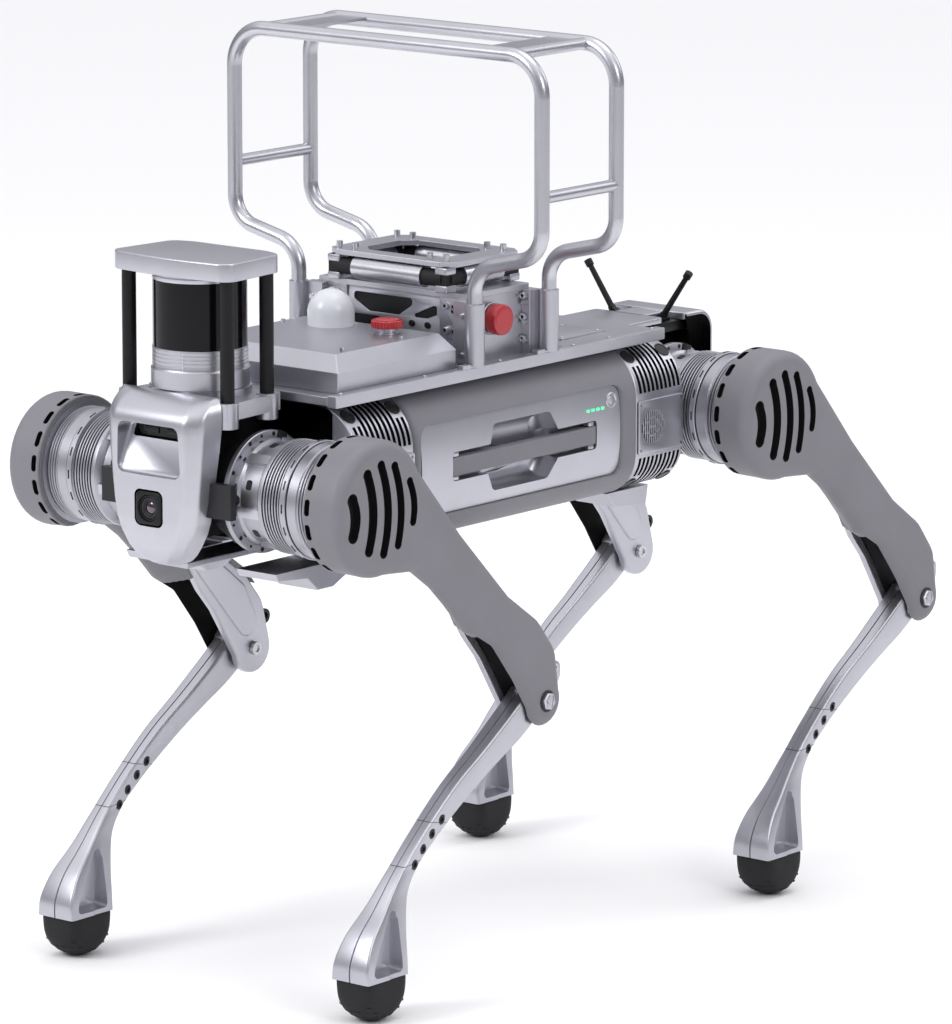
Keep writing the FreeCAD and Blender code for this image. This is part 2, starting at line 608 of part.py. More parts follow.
def make_mast():
    base = [("0", "mast_low"), ("mast_rad", "mast_low"), ("mast_rad", "mast_low + 19")]
    for index in range(5):
        level = f"mast_low + 19 + {index} * 4.2"
        base += [("mast_rad - 1.5", level), ("mast_rad - 1.5", f"{level} + 3"),
                 ("mast_rad - 3", f"{level} + 3.2"),
                 ("mast_rad - 3", f"{level} + 4")]
    base += [("mast_rad - 1.8", "glass_low"), ("0", "glass_low")]
    cap = cylinder("mast_cap", "z", ("mast_x", "0"), ("glass_high", "guard_low"), "mast_rad - 3")
    node("lidar_body", turned("mast_base", "z", base, ("mast_x", "0", "0")), cap)
    node("lidar_window", cylinder("mast_glass", "z", ("mast_x", "0"), ("glass_low", "glass_high"),
                                  "mast_rad - 2"))
    pillars = []
    for number, spot in enumerate(PILLARS):
        pillars += pair(f"pillar{number}", cylinder(f"pillar{number}", "z", spot, ("617.8", "guard_low"),
                                                    "pillar_rad"))
    node("lidar_pillars", *pillars)
    rim = [("300", "-50"), ("308", "-72"), ("386", "-79"), ("395", "-68"), ("402", "0"),
           ("395", "68"), ("386", "79"), ("308", "72"), ("300", "50")]
    rounds = ((1, 7), "13"), ((2, 3, 5, 6), "5")
    node("lidar_guard", prism("guard", "plan", rim, ("guard_low", "guard_high"), rounds=rounds))


def make_tail():
    rear = both_ends([("24", "520"), ("44", "545"), ("44", "590"), ("34", "602")])
    front = both_ends([("20", "505"), ("50", "540"), ("52", "592"), ("42", "608")])
    shell = loft("tail_shell", ("-face_x", rear), ("-neck_x", front))
    arm_room = block("tail_arm_room", ("-neck_x - 8.2", "-neck_x + 1"), ("-87", "87"), ("500", "539.2"))
    roof = block("tail_roof", ("-neck_x", "-body_end"), ("-22", "22"), ("600", "606"))
    cheek = ("antenna_y - 6", "antenna_y + 6")
    base = block("bracket_base", ("-antenna_x - 8", "-antenna_x + 8"), cheek, ("588", "596.4"))
    rear = block("bracket_rear", ("-antenna_x - 8", "-antenna_x - 4.4"), cheek, ("588", "antenna_z + 5"))
    ahead = block("bracket_ahead", ("-antenna_x + 4.4", "-antenna_x + 8"), cheek, ("588", "antenna_z + 5"))
    pin = cylinder("bracket_pin", "x", ("antenna_y", "antenna_z"), ("-antenna_x - 8", "-antenna_x + 8"),
                   "2")
    brackets = pair("antenna_bracket", fuse("antenna_bracket", base, rear, ahead, pin))
    node("tail_cover", cut("tail_cut", shell, arm_room), roof, *brackets)
    for side, sign in (("left", 1), ("right", -1)):
        lean = Rotation(Vector(1, 0, 0), -sign * value("antenna_tilt"))
        stick = [("0", "6"), ("3.4", "6"), ("3", "antenna_len - 7"), ("4.4", "antenna_len - 6"),
                 ("4.4", "antenna_len + 1"), ("0", "antenna_len + 1")]
        rod = turned(f"antenna_{side}_rod", "z", stick, ("0", "0", "0"))
        hub = cylinder(f"antenna_{side}_hub", "x", ("0", "0"), ("-4", "4"), "5")
        knuckle = block(f"antenna_{side}_neck", ("-3", "3"), ("-3", "3"), ("0", "8"))
        bore = cylinder(f"antenna_{side}_bore", "x", ("0", "0"), ("-5", "5"), "2 + fit_gap")
        whole = cut(f"antenna_{side}_solid", fuse(f"antenna_{side}_joined", rod, hub, knuckle), bore)
        holder = doc.addObject("Part::Compound", f"antenna_{side}_lean")
        holder.Links = [whole]
        place(holder, "-antenna_x", f"{sign} * antenna_y", "antenna_z", lean)
        node(f"antenna_{side}", holder)


def make_skids():
    front = [("236", "body_low"), ("240", "428"), ("262", "418"), ("286", "418"), ("302", "432"),
             ("346", "436"),
             ("350", "444"), ("262", "444"), ("262", "body_low")]
    pieces = pair("skid_front", prism("skid_front", "side", front, ("48", "100")))
    rear = [("-250", "body_low"), ("-246", "424"), ("-192", "430"), ("-178", "body_low")]
    pieces += pair("skid_rear", prism("skid_rear", "side", rear, ("48", "100")))
    pieces.append(block("skid_front_web", ("262", "391"), ("-20", "20"), ("446", "452")))
    node("belly_skids", *pieces)


# ---------------------------------------------------------------- one leg, front left, about the hip axis

HIP = ("hip_half", "hip_height")
KNEE = ("hip_half - thigh_run", "hip_height - thigh_drop")


def make_hip_housing():
    points = [("0", "24"), ("38", "24"), ("49", "36"), ("58", "54"), ("58", "66"), ("core_rad - 0.4", "66"),
              ("core_rad - 0.4", "72"), ("51", "78"), ("51", "112")]
    for index in range(7):
        start = f"113 + {index} * 3.5"
        points += [("ribs_rad", start), ("ribs_rad", f"{start} + 2"), ("ribs_rad - 3.5", f"{start} + 2"),
                   ("ribs_rad - 3.5", f"{start} + 3.5")]
    points += [("60", "138"), ("60", "motor_end"), ("0", "motor_end")]
    solid = turned("hip_solid", "y", points, (HIP[0], "0", HIP[1]))
    rear_bore = cylinder("hip_rear_bore", "x", ("swing_y", "hip_height"),
                         ("hip_half - 70", "hip_half - 49.6"),
                         "14 + fit_gap")
    front_bore = cylinder("hip_front_bore", "x", ("swing_y", "hip_height"),
                          ("hip_half + 51.6", "hip_half + 70"),
                          "9 + fit_gap")
    pin_bore = cylinder("hip_pin_bore", "y", HIP, ("motor_end - 14", "motor_end + 1"), "20 + fit_gap")
    return cut("hip_cut", solid, rear_bore, front_bore, pin_bore)


THIGH_UPPER = [("-40", "52"), ("-68", "20"), ("-126.8", "-43.6"), ("-203.5", "-119.8"), ("-250", "-152"),
               ("-277", "-188"), ("-284.5", "-224")]
THIGH_LOWER = [("-231", "-240"), ("-208", "-208.7"), ("-173.3", "-164.7"), ("-133", "-144.9"),
               ("-65.4", "-84.5"),
               ("-30", "-61")]


# Openings in the outer face: place, lower end and upper end from the hip axis, width.
SLITS = ((44, -25, 21, 15), (19, -42, 41, 11), (-5, -47, 47, 10), (-24, -42, 44, 9), (-44, -22, 25, 8))


def thigh_prism(name, span, hub, knee, points):
    """Hub disc, knee disc and the arm between them, all over one span."""
    arm = prism(name + "_arm", "side", points, span, HIP)
    disc = cylinder(name + "_hub", "y", HIP, span, hub)
    tip = cylinder(name + "_tip", "y", KNEE, span, knee)
    return fuse(name, arm, disc, tip)


def make_thigh():
    outline = THIGH_UPPER + THIGH_LOWER
    cheek = thigh_prism("inner_cheek", ("cheek_in", "cheek_in + cheek_wall"), "62", "27.5", outline)
    drum = turned("knee_drum", "y", [("0", "motor_end - 13"), ("20", "motor_end - 13"),
                                     ("20", "motor_end + run_gap"),
                                     ("drum_rad", "motor_end + run_gap"), ("drum_rad", "drum_end"),
                                     ("62", "drum_end"), ("62", "cheek_in"), ("0", "cheek_in")],
                  (HIP[0], "0", HIP[1]))
    crank_bore = cylinder("crank_bore", "y", HIP, ("cheek_in + 2", "cheek_in + cheek_wall + 1"),
                          "8 + fit_gap")
    shaft = cylinder("knee_shaft", "y", KNEE, ("cheek_in - 1.5", "bolt_out - 4.6"), "knee_bore - fit_gap")
    hexagon = [(f"{9.5 * math.cos(math.radians(60 * k)):.4f}",
                f"{9.5 * math.sin(math.radians(60 * k)):.4f}")
               for k in range(6)]
    head = prism("knee_bolt_head", "side", hexagon, ("bolt_out - 4.6", "bolt_out"), KNEE)
    nut = cylinder("knee_nut", "y", KNEE, ("cheek_in - 1.5", "cheek_in + 4"), "9")
    bolt = fuse("knee_bolt", shaft, head, nut)
    frame = cut("thigh_solid", fuse("thigh_joined", cheek, drum), crank_bore, bolt)

    plate = thigh_prism("outer_cheek", ("cover_in", "cover_out"), "66", "27.5", outline)
    wall_out = THIGH_UPPER[:4] + [("-222", "-150"), ("-150", "-152")] + THIGH_LOWER[3:]
    rim = prism("rim_arm", "side", wall_out, ("cheek_in + cheek_wall", "cover_in"), HIP)
    rim_disc = cylinder("rim_disc", "y", HIP, ("cheek_in + 2", "cover_in"), "rim_rad")
    cavity = [("-40", "46"), ("-66", "15"), ("-124", "-47.5"), ("-200.5", "-119.9"), ("-262", "-175"),
              ("-262", "-260"),
              ("-118", "-137"), ("-62", "-79"), ("-30", "-57")]
    hollow = prism("rim_hollow", "side", cavity, ("cheek_in - 1", "cover_in"), HIP)
    hollow_disc = cylinder("rim_hollow_disc", "y", HIP, ("cheek_in - 1", "cover_in"), "rim_rad - 4.5")
    slots = []
    for number, (x, low, high, wide) in enumerate(SLITS):
        slots.append(block(f"slit{number}", (f"hip_half + {x} - {wide} / 2",
                                             f"hip_half + {x} + {wide} / 2"),
                           ("cover_in - 1", "cover_out + 1"), (f"hip_height + {low}",
                                                               f"hip_height + {high}")))
    bolt_room = cylinder("bolt_room", "y", KNEE, ("cover_in - 1", "cover_out + 1"), "knee_bore - fit_gap")
    shell = fuse("cover_solid", plate, rim, rim_disc)
    cover = cut("cover_cut", shell, hollow, hollow_disc, cheek, bolt_room, *slots)
    return [frame, bolt], cover


def link_bar(name, start, step, span, half):
    """A flat bar that runs from one pin towards another in the plane of the leg."""
    length = f"sqrt(({step[0]}) ^ 2 + ({step[1]}) ^ 2)"
    a, b = f"({step[1]}) * {half} / {length}", f"({step[0]}) * {half} / {length}"
    corners = [(f"-({a})", b), (a, f"-({b})"), (f"{step[0]} + {a}", f"{step[1]} - {b}"),
               (f"{step[0]} - {a}", f"{step[1]} + {b}")]
    return prism(name, "side", corners, span, start)


CRANK_STEP = ("-crank_back", "crank_up")
CRANK_SPAN = ("196", "204")
ROD_SPAN = ("187.5", "194.5")
PIN_SPAN = ("187.4", "196")


def make_linkage():
    """Knee crank on the hip axis and the push rod beside it, parallel to the thigh."""
    eye = ("hip_half - crank_back", "hip_height + crank_up")
    far_eye = ("hip_half - thigh_run - crank_back", "hip_height - thigh_drop + crank_up")
    hub = cylinder("crank_hub", "y", HIP, ("cheek_in + 2.4", "204"), "8")
    disc = cylinder("crank_disc", "y", HIP, CRANK_SPAN, "16")
    tip = cylinder("crank_tip", "y", eye, CRANK_SPAN, "10")
    pin = cylinder("crank_pin", "y", eye, PIN_SPAN, "pin_rad")
    web = link_bar("crank_web", HIP, CRANK_STEP, CRANK_SPAN, "7")
    crank = fuse("crank_solid", hub, disc, tip, pin, web)

    bar = link_bar("rod_bar", eye, ("-thigh_run", "-thigh_drop"), ROD_SPAN, "3.2")
    ends = [cylinder(f"rod_eye{number}", "y", spot, ROD_SPAN, "8") for number,
            spot in enumerate((eye, far_eye))]
    bores = [cylinder(f"rod_bore{number}", "y", spot, ("187", "195"), radius)
             for number, (spot, radius) in enumerate(((eye, "pin_rad + fit_gap"),
                                                      (far_eye, "pin_rad + 0.3")))]
    rod = cut("rod_solid", fuse("rod_joined", bar, *ends), *bores)
    return crank, rod


CALF_FRONT = [("22", "8"), ("40", "-6"), ("88.3", "-39.2"), ("133.4", "-67.7"), ("178.7", "-104.7"),
              ("215.4", "-139.6"), ("246.4", "-173.9"), ("270.1", "-194.9"), ("285.9", "-220.9"), ("283.4",
                                                                                                   "-240.1")]
CALF_REAR = [("219.4", "-240.1"), ("216.7", "-199.7"), ("211.5", "-165.1"), ("196.5", "-142.9"),
             ("170", "-122.6"),
             ("138.2", "-99.5"), ("101.9", "-76.7"), ("68.5", "-57"), ("24.9", "-35.2"), ("8", "-24")]
CALF_HALF = [("24.5", "-240.1"), ("22.5", "-221"), ("18.5", "-195"), ("13.2", "-165"), ("9.8", "-136"),
             ("9.8", "-105"), ("12.2", "-40"), ("13.4", "10")]


def make_calf():
    """Beam with the lever behind the knee, flared foot bracket, splice bolts and rubber foot."""
    profile = prism("calf_profile", "side", CALF_FRONT + CALF_REAR, ("leg_plane - 26", "leg_plane + 26"),
                    KNEE)
    widths = prism("calf_widths", "front", both_ends(CALF_HALF), ("0", "400"), ("leg_plane", KNEE[1]))
    whole = common("calf_whole", profile, widths)
    hub = fuse("calf_hub", cylinder("calf_hub_wide", "y", KNEE, ("leg_plane - 4.2", "leg_plane + 13.4"),
                                    "24"),
               cylinder("calf_hub_narrow", "y", KNEE, ("leg_plane - 13.4", "leg_plane - 4.2"), "17"))
    lug_spot = (f"{KNEE[0]} - crank_back", f"{KNEE[1]} + crank_up")
    lug = cylinder("lug", "y", lug_spot, CRANK_SPAN, "11")
    lug_pin = cylinder("lug_pin", "y", lug_spot, PIN_SPAN, "pin_rad")
    web = link_bar("lug_web", KNEE, CRANK_STEP, CRANK_SPAN, "9")
    bore = cylinder("calf_bore", "y", KNEE, ("leg_plane - 20", "leg_plane + 20"), "knee_bore")
    beam_zone = block("beam_zone", ("hip_half - 400", "hip_half + 100"), ("100", "300"),
                      (f"{KNEE[1]} - 136", f"{KNEE[1]} + 100"))
    bolts = [cylinder(f"splice_bolt{k}", "y", (f"{KNEE[0]} + {x}", f"{KNEE[1]} + {z}"),
                      ("leg_plane - 11.2", "leg_plane + 11.2"), "4.2")
             for k, (x, z) in enumerate(((152, -97), (167, -110), (181, -123), (191, -131)))]
    beam = cut("calf_beam", fuse("calf_joined", common("calf_upper", whole, beam_zone), hub, lug, lug_pin,
                                 web),
               bore, *bolts)
    window = prism("bracket_window", "side", [("232", "-232"), ("272", "-232"), ("262", "-205"),
                                              ("240", "-176"),
                                              ("232", "-176")], ("leg_plane - 30", "leg_plane + 30"), KNEE)
    web_zone = block("bracket_web", ("hip_half - 400", "hip_half + 100"),
                     ("leg_plane - 4", "leg_plane + 4"), ("0", "200"))
    bracket = cut("calf_bracket", cut("calf_lower", whole, beam_zone), cut("window_cut", window, web_zone))
    ball = doc.addObject("Part::Sphere", "foot_ball")
    bind(ball, Radius="foot_rad")
    place(ball, "hip_half + foot_x", "leg_plane", "foot_rad")
    room = block("foot_room", ("hip_half + foot_x - 32", "hip_half + foot_x + 32"),
                 ("leg_plane - 24.5", "leg_plane + 24.5"), ("-1", "foot_top"))
    return [beam, bracket, *bolts], common("foot_pad_solid", ball, room)


def make_legs():
    thigh, cover = make_thigh()
    crank, rod = make_linkage()
    calf, pad = make_calf()
    pieces = {"hip_housing": [make_hip_housing()], "thigh_frame": thigh, "thigh_cover": [cover],
              "knee_crank": [crank], "knee_rod": [rod], "calf": calf, "foot_pad": [pad]}
    for name, solids in pieces.items():
        right = [mirror(f"right_{name}{number}", solid) for number, solid in enumerate(solids)]
        for corner, side, shift in (("fl", solids, "datum_shift"), ("fr", right, "datum_shift"),
                                    ("rl", solids, "datum_shift - 2 * hip_half"),
                                    ("rr", right, "datum_shift - 2 * hip_half")):
            node(f"{corner}_{name}", *side, shift=shift)


make_trunk()
make_heat_sinks()
make_battery()
make_deck()
make_equipment_box()
make_tower()
make_isolators()
make_sleeves()
make_cage()
make_head()
make_mast()
make_tail()
make_skids()
make_legs()
doc.recompute()

failed = [item.Label for item in doc.Objects if {"Invalid", "Error"} & set(item.State)]
failed += [name for name, item in NODES.items() if item.Shape.isNull() or not item.Shape.isValid()]
if failed:
    raise SystemExit("failed objects: " + ", ".join(failed))

os.makedirs("parts", exist_ok=True)
for name, item in NODES.items():
    item.Shape.exportStep(f"parts/{name}.step")
print(len(NODES), "nodes written")
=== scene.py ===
import json
import math

import bmesh
import bpy
from mathutils import Matrix, Vector


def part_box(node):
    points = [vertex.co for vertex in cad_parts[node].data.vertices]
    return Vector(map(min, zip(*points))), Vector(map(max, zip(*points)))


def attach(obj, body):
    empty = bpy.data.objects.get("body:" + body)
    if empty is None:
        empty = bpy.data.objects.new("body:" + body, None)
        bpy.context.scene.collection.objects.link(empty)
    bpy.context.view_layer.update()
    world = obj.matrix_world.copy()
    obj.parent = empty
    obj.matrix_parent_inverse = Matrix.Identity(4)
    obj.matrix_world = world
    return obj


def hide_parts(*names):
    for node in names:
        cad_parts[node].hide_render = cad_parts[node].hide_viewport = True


# Looks of a four-legged walking robot. Lengths inside this script are in millimetres from the middle of the
# four hip axes (x forward, y to the robot's left, z up from the floor); point() turns them into the frame.

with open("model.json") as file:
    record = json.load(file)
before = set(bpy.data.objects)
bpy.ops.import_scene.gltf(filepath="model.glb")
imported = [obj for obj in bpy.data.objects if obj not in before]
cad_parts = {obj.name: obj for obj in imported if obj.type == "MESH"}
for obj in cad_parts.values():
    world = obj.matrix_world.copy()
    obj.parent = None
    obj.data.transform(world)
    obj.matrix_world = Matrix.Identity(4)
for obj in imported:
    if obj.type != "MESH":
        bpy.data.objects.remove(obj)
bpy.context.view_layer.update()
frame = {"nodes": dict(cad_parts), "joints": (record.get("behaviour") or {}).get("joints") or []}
JOINTS = {joint["name"]: Vector(joint["pos_m"]) for joint in frame["joints"] if "pos_m" in joint}
MIDDLE = (JOINTS["fl_pitch"].x + JOINTS["rl_pitch"].x) / 2
HIP_HALF = (JOINTS["fl_pitch"].x - JOINTS["rl_pitch"].x) * 500
HIP_Z = JOINTS["fl_pitch"].z * 1000
KNEE_RUN = (JOINTS["fl_pitch"].x - JOINTS["fl_knee"].x) * 1000
KNEE_DROP = (JOINTS["fl_pitch"].z - JOINTS["fl_knee"].z) * 1000
LEG_Y = JOINTS["fl_knee"].y * 1000


def point(x, y, z):
    return Vector((x / 1000 + MIDDLE, y / 1000, z / 1000))


# ---------------------------------------------------------------- materials

def links(material):
    tree = material.node_tree
    return tree, tree.nodes["Principled BSDF"], tree.links


def add(tree, kind, **values):
    made = tree.nodes.new(kind)
    for key, number in values.items():
        if hasattr(made, key):
            setattr(made, key, number)
        else:
            made.inputs[key.replace("_", " ")].default_value = number
    return made


def finish_of(name, colour, rough, metal=0.0, grain=900.0, bump=0.06, spread=0.05, mottling=0.04, coat=0.0,
              specular=0.5, brush=None):
    """A surface with fine grain in its height and gloss, and slow mottling in its colour."""
    material = bpy.data.materials.new(name)
    material.use_nodes = True
    tree, shader, wire = links(material)
    place = add(tree, "ShaderNodeTexCoord")
    stretch = add(tree, "ShaderNodeMapping")
    if brush:
        stretch.inputs["Scale"].default_value = brush
    wire.new(place.outputs["Object"], stretch.inputs["Vector"])
    fine = add(tree, "ShaderNodeTexNoise", Scale=grain, Detail=3.0, Roughness=0.6)
    slow = add(tree, "ShaderNodeTexNoise", Scale=14.0, Detail=4.0, Roughness=0.55)
    wire.new(stretch.outputs["Vector"], fine.inputs["Vector"])
    wire.new(place.outputs["Object"], slow.inputs["Vector"])
    gloss = add(tree, "ShaderNodeMapRange", From_Min=0.25, From_Max=0.75, To_Min=rough - spread, To_Max=rough + spread)
    wire.new(fine.outputs["Fac"], gloss.inputs["Value"])
    wire.new(gloss.outputs["Result"], shader.inputs["Roughness"])
    shade = add(tree, "ShaderNodeMapRange", From_Min=0.3, From_Max=0.7, To_Min=1 - mottling, To_Max=1 + mottling)
    wire.new(slow.outputs["Fac"], shade.inputs["Value"])
    tint = add(tree, "ShaderNodeMix", data_type="RGBA", blend_type="MULTIPLY")
    tint.inputs["Factor"].default_value = 1.0
    tint.inputs[6].default_value = (*colour, 1)
    wire.new(shade.outputs["Result"], tint.inputs[7])
    wire.new(tint.outputs[2], shader.inputs["Base Color"])
    lift = add(tree, "ShaderNodeBump", Strength=bump, Distance=0.0004)
    wire.new(fine.outputs["Fac"], lift.inputs["Height"])
    wire.new(lift.outputs["Normal"], shader.inputs["Normal"])
    shader.inputs["Metallic"].default_value = metal
    shader.inputs["Coat Weight"].default_value = coat
    shader.inputs["Specular IOR Level"].default_value = specular
    return material


SILVER = finish_of("satin_silver", (0.485, 0.485, 0.53), 0.35, metal=0.9, grain=1400, bump=0.10)
MOTOR = finish_of("motor_silver", (0.40, 0.40, 0.44), 0.37, metal=0.92, grain=900, bump=0.05)
BRIGHT = finish_of("machined_silver", (0.56, 0.56, 0.60), 0.29, metal=1.0, grain=700, bump=0.05,
                   brush=(1, 1, 6))
TUBE = finish_of("tube_silver", (0.50, 0.50, 0.54), 0.31, metal=0.95, grain=1000, bump=0.06)
GREY = finish_of("grey_shell", (0.180, 0.175, 0.195), 0.54, grain=1800, bump=0.16, specular=0.45)
DARK = finish_of("black_alloy", (0.018, 0.018, 0.021), 0.42, metal=0.4, grain=1200, bump=0.08)
BLACK = finish_of("black_plastic", (0.008, 0.008, 0.009), 0.42, grain=1500, bump=0.10, specular=0.22)
GLASS = finish_of("dark_window", (0.003, 0.003, 0.004), 0.12, grain=200, bump=0.0, spread=0.03,
                  specular=0.22)
WHITE = finish_of("white_plastic", (0.60, 0.61, 0.65), 0.30, grain=900, bump=0.03, coat=0.15)
RED = finish_of("red_plastic", (0.40, 0.020, 0.028), 0.40, grain=1100, bump=0.06, coat=0.2)
RUBBER = finish_of("rubber_black", (0.010, 0.010, 0.011), 0.66, grain=700, bump=0.35, specular=0.35)
STEEL = finish_of("screw_steel", (0.55, 0.56, 0.58), 0.30, metal=1.0, grain=900, bump=0.05)
LENS = finish_of("camera_lens", (0.030, 0.006, 0.026), 0.08, grain=300, bump=0.0, spread=0.02, coat=1.0,
                 specular=0.8)
GREEN = finish_of("green_light", (0.05, 0.8, 0.3), 0.3)
GREEN.node_tree.nodes["Principled BSDF"].inputs["Emission Color"].default_value = (0.08, 1.0, 0.35, 1)
GREEN.node_tree.nodes["Principled BSDF"].inputs["Emission Strength"].default_value = 1.1
SLOTS = {"satin_silver": SILVER, "grey_shell": GREY, "black_alloy": DARK, "black_plastic": BLACK,
         "dark_window": GLASS, "white_plastic": WHITE, "red_plastic": RED, "rubber_black": RUBBER,
         "screw_steel": STEEL, "green_light": GREEN}
SLOT_OF = {id(material): slot for slot, material in SLOTS.items()}
SLOT_OF[id(LENS)] = "dark_window"
SLOT_OF[id(BRIGHT)] = SLOT_OF[id(TUBE)] = SLOT_OF[id(MOTOR)] = "satin_silver"


# ---------------------------------------------------------------- mesh helpers

def keep(name, mesh, material, body, replaces=(), sharp=32.0, bevel=0.0, segments=2):
    """A finished piece: shaded smooth between sharp edges, edges rounded, riding on its body."""
    if not len(mesh.materials):
        mesh.materials.append(material)
    piece = bpy.data.objects.new(name, mesh)
    bpy.context.scene.collection.objects.link(piece)
    for face in mesh.polygons:
        face.use_smooth = True
    mesh.set_sharp_from_angle(angle=math.radians(sharp))
    if bevel:
        edge = piece.modifiers.new("edges", "BEVEL")
        edge.width = bevel / 1000
        edge.segments = segments
        edge.limit_method = "ANGLE"
        edge.angle_limit = math.radians(sharp)
        edge.harden_normals = True
        edge.use_clamp_overlap = True
    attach(piece, body)
    SLOT_OF[id(material)]
    if replaces:
        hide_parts(*replaces)
    return piece


def new_mesh(name, corners, faces):
    mesh = bpy.data.meshes.new(name)
    mesh.from_pydata([tuple(corner) for corner in corners], [], faces)
    work = bmesh.new()
    work.from_mesh(mesh)
    bmesh.ops.recalc_face_normals(work, faces=work.faces)
    work.to_mesh(mesh)
    work.free()
    return mesh


def smooth_outline(corners, radii=0.0, steps=7):
    """A closed outline (a, b) with each corner rounded by a tangent arc; radii is one number or one per corner."""
    count = len(corners)
    if not hasattr(radii, "__len__"):
        radii = [radii] * count
    outline = []
    for index, corner in enumerate(corners):
        here = Vector(corner)
        back = Vector(corners[index - 1]) - here
        ahead = Vector(corners[(index + 1) % count]) - here
        turn = math.pi - back.angle(ahead)
        if radii[index] <= 0 or turn < 0.02:
            outline.append(here)
            continue
        reach = min(radii[index] * math.tan(turn / 2), back.length * 0.48, ahead.length * 0.48)
        radius = reach / math.tan(turn / 2)
        bisector = (back.normalized() + ahead.normalized()).normalized()
        centre = here + bisector * (radius / math.cos(turn / 2))
        start = here + back.normalized() * reach - centre
        end = here + ahead.normalized() * reach - centre
        sweep = math.atan2(start.cross(end), start.dot(end))
        number = max(2, int(steps * abs(sweep) / 1.2) + 1)
        for step in range(number + 1):
            outline.append(centre + Matrix.Rotation(sweep * step / number, 2) @ start)
    return outline


def arc(centre, radius, start, end, steps=16):
    return [(centre[0] + radius * math.cos(math.radians(start + (end - start) * k / steps)),
             centre[1] + radius * math.sin(math.radians(start + (end - start) * k / steps)))
            for k in range(steps + 1)]


AXES = {"side": lambda a, b, along: point(a, along, b), "front": lambda a, b, along: point(along, a, b),
        "plan": lambda a, b, along: point(a, b, along)}


def slab_mesh(name, outline, span, view, holes=(), bevel=0.0, segments=3):
    """A flat piece between two planes with through holes and rounded rims, from a filled 2D curve."""
    curve = bpy.data.curves.new(name, "CURVE")
    curve.dimensions = "2D"
    curve.fill_mode = "BOTH"
    curve.extrude = abs(span[1] - span[0]) / 2 - bevel
    curve.bevel_depth = bevel
    curve.bevel_resolution = segments
    curve.offset = -bevel
    for ring in (outline, *holes):
        spline = curve.splines.new("POLY")
        spline.points.add(len(ring) - 1)
        for spot, corner in zip(spline.points, ring):
            spot.co = (corner[0], corner[1], 0, 1)
        spline.use_cyclic_u = True
    holder = bpy.data.objects.new(name, curve)
    bpy.context.scene.collection.objects.link(holder)
    mesh = bpy.data.meshes.new_from_object(holder.evaluated_get(bpy.context.evaluated_depsgraph_get()))
    bpy.data.objects.remove(holder)
    bpy.data.curves.remove(curve)
    middle = (span[0] + span[1]) / 2
    work = bmesh.new()
    work.from_mesh(mesh)
    bmesh.ops.remove_doubles(work, verts=work.verts, dist=0.001)
    for vert in work.verts:
        vert.co = AXES[view](vert.co.x, vert.co.y, vert.co.z + middle)
    bmesh.ops.recalc_face_normals(work, faces=work.faces)
    work.to_mesh(mesh)
    work.free()
    return mesh


ALONG = {"x": Vector((1, 0, 0)), "y": Vector((0, 1, 0)), "z": Vector((0, 0, 1))}


def lathe_mesh(name, profile, base, axis, segments=96):
    """A revolved surface about an axis through base; profile is (radius, distance along the axis from base)."""
    axis = ALONG[axis] if isinstance(axis, str) else axis.normalized()
    across = axis.orthogonal().normalized()
    up = axis.cross(across)
    base = Vector(base)
    corners, rings = [], []
    for radius, along in profile:
        number = 1 if radius == 0 else segments
        rings.append(list(range(len(corners), len(corners) + number)))
        for k in range(number):
            angle = 2 * math.pi * k / segments
            spot = base + axis * along + (across * math.cos(angle) + up * math.sin(angle)) * radius
            corners.append(point(*spot))
    faces = []
    for first, second in zip(rings, rings[1:]):
        for k in range(segments):
            after = (k + 1) % segments
            face = [first[k % len(first)], first[after % len(first)], second[after % len(second)],
                    second[k % len(second)]]
            faces.append(list(dict.fromkeys(face)))
    return new_mesh(name, corners, faces)


def dish_mesh(name, outline, layers, view, tuck=None):
    """A closed body of stacked outlines; layers are (distance drawn in, place along the view[, share of tuck])."""
    outline = [Vector(corner) for corner in outline]
    count = len(outline)
    area = sum(outline[k - 1].cross(outline[k]) for k in range(count))
    outward = []
    for k in range(count):
        before = (outline[k] - outline[k - 1]).normalized()
        after = (outline[(k + 1) % count] - outline[k]).normalized()
        tangent = (before + after).normalized()
        outward.append(Vector((tangent.y, -tangent.x)) * (1 if area > 0 else -1))
    extra = [tuck(corner) if tuck else 0 for corner in outline]
    corners = [AXES[view](*(outline[k] - outward[k] * (layer[0] + extra[k] * sum(layer[2:]))), layer[1])
               for layer in layers for k in range(count)]
    faces = [[level * count + k, level * count + (k + 1) % count, (level + 1) * count + (k + 1) % count,
              (level + 1) * count + k] for level in range(len(layers) - 1) for k in range(count)]
    faces += [list(range(count)), list(range((len(layers) - 1) * count, len(layers) * count))]
    return new_mesh(name, corners, faces)


def rounded(start, end, first=0.0, last=0.0, steps=5):
    """Layers between two planes with rounded rims of two radii."""
    sign = 1 if end > start else -1
    turns = [math.pi / 2 * k / steps for k in range(steps + 1)]
    layers = [(first * (1 - math.sin(t)), start + sign * first * (1 - math.cos(t))) for t in turns] if first else [
        (0, start)]
    layers += [(last * (1 - math.cos(t)), end - sign * last * (1 - math.sin(t))) for t in turns] if last else [
        (0, end)]
    return layers


def rectangle(a, b, round_by, steps=7):
    return smooth_outline([(a[1], b[0]), (a[1], b[1]), (a[0], b[1]), (a[0], b[0])], round_by, steps)


def box_mesh(name, x, y, z, edge=0.8, view="plan"):
    """A block with rounded edges and corners."""
    spans = {"plan": (x, y, z), "side": (x, z, y), "front": (y, z, x)}[view]
    return dish_mesh(name, rectangle(spans[0], spans[1], edge, 3), rounded(*spans[2], edge, edge, 2), view)


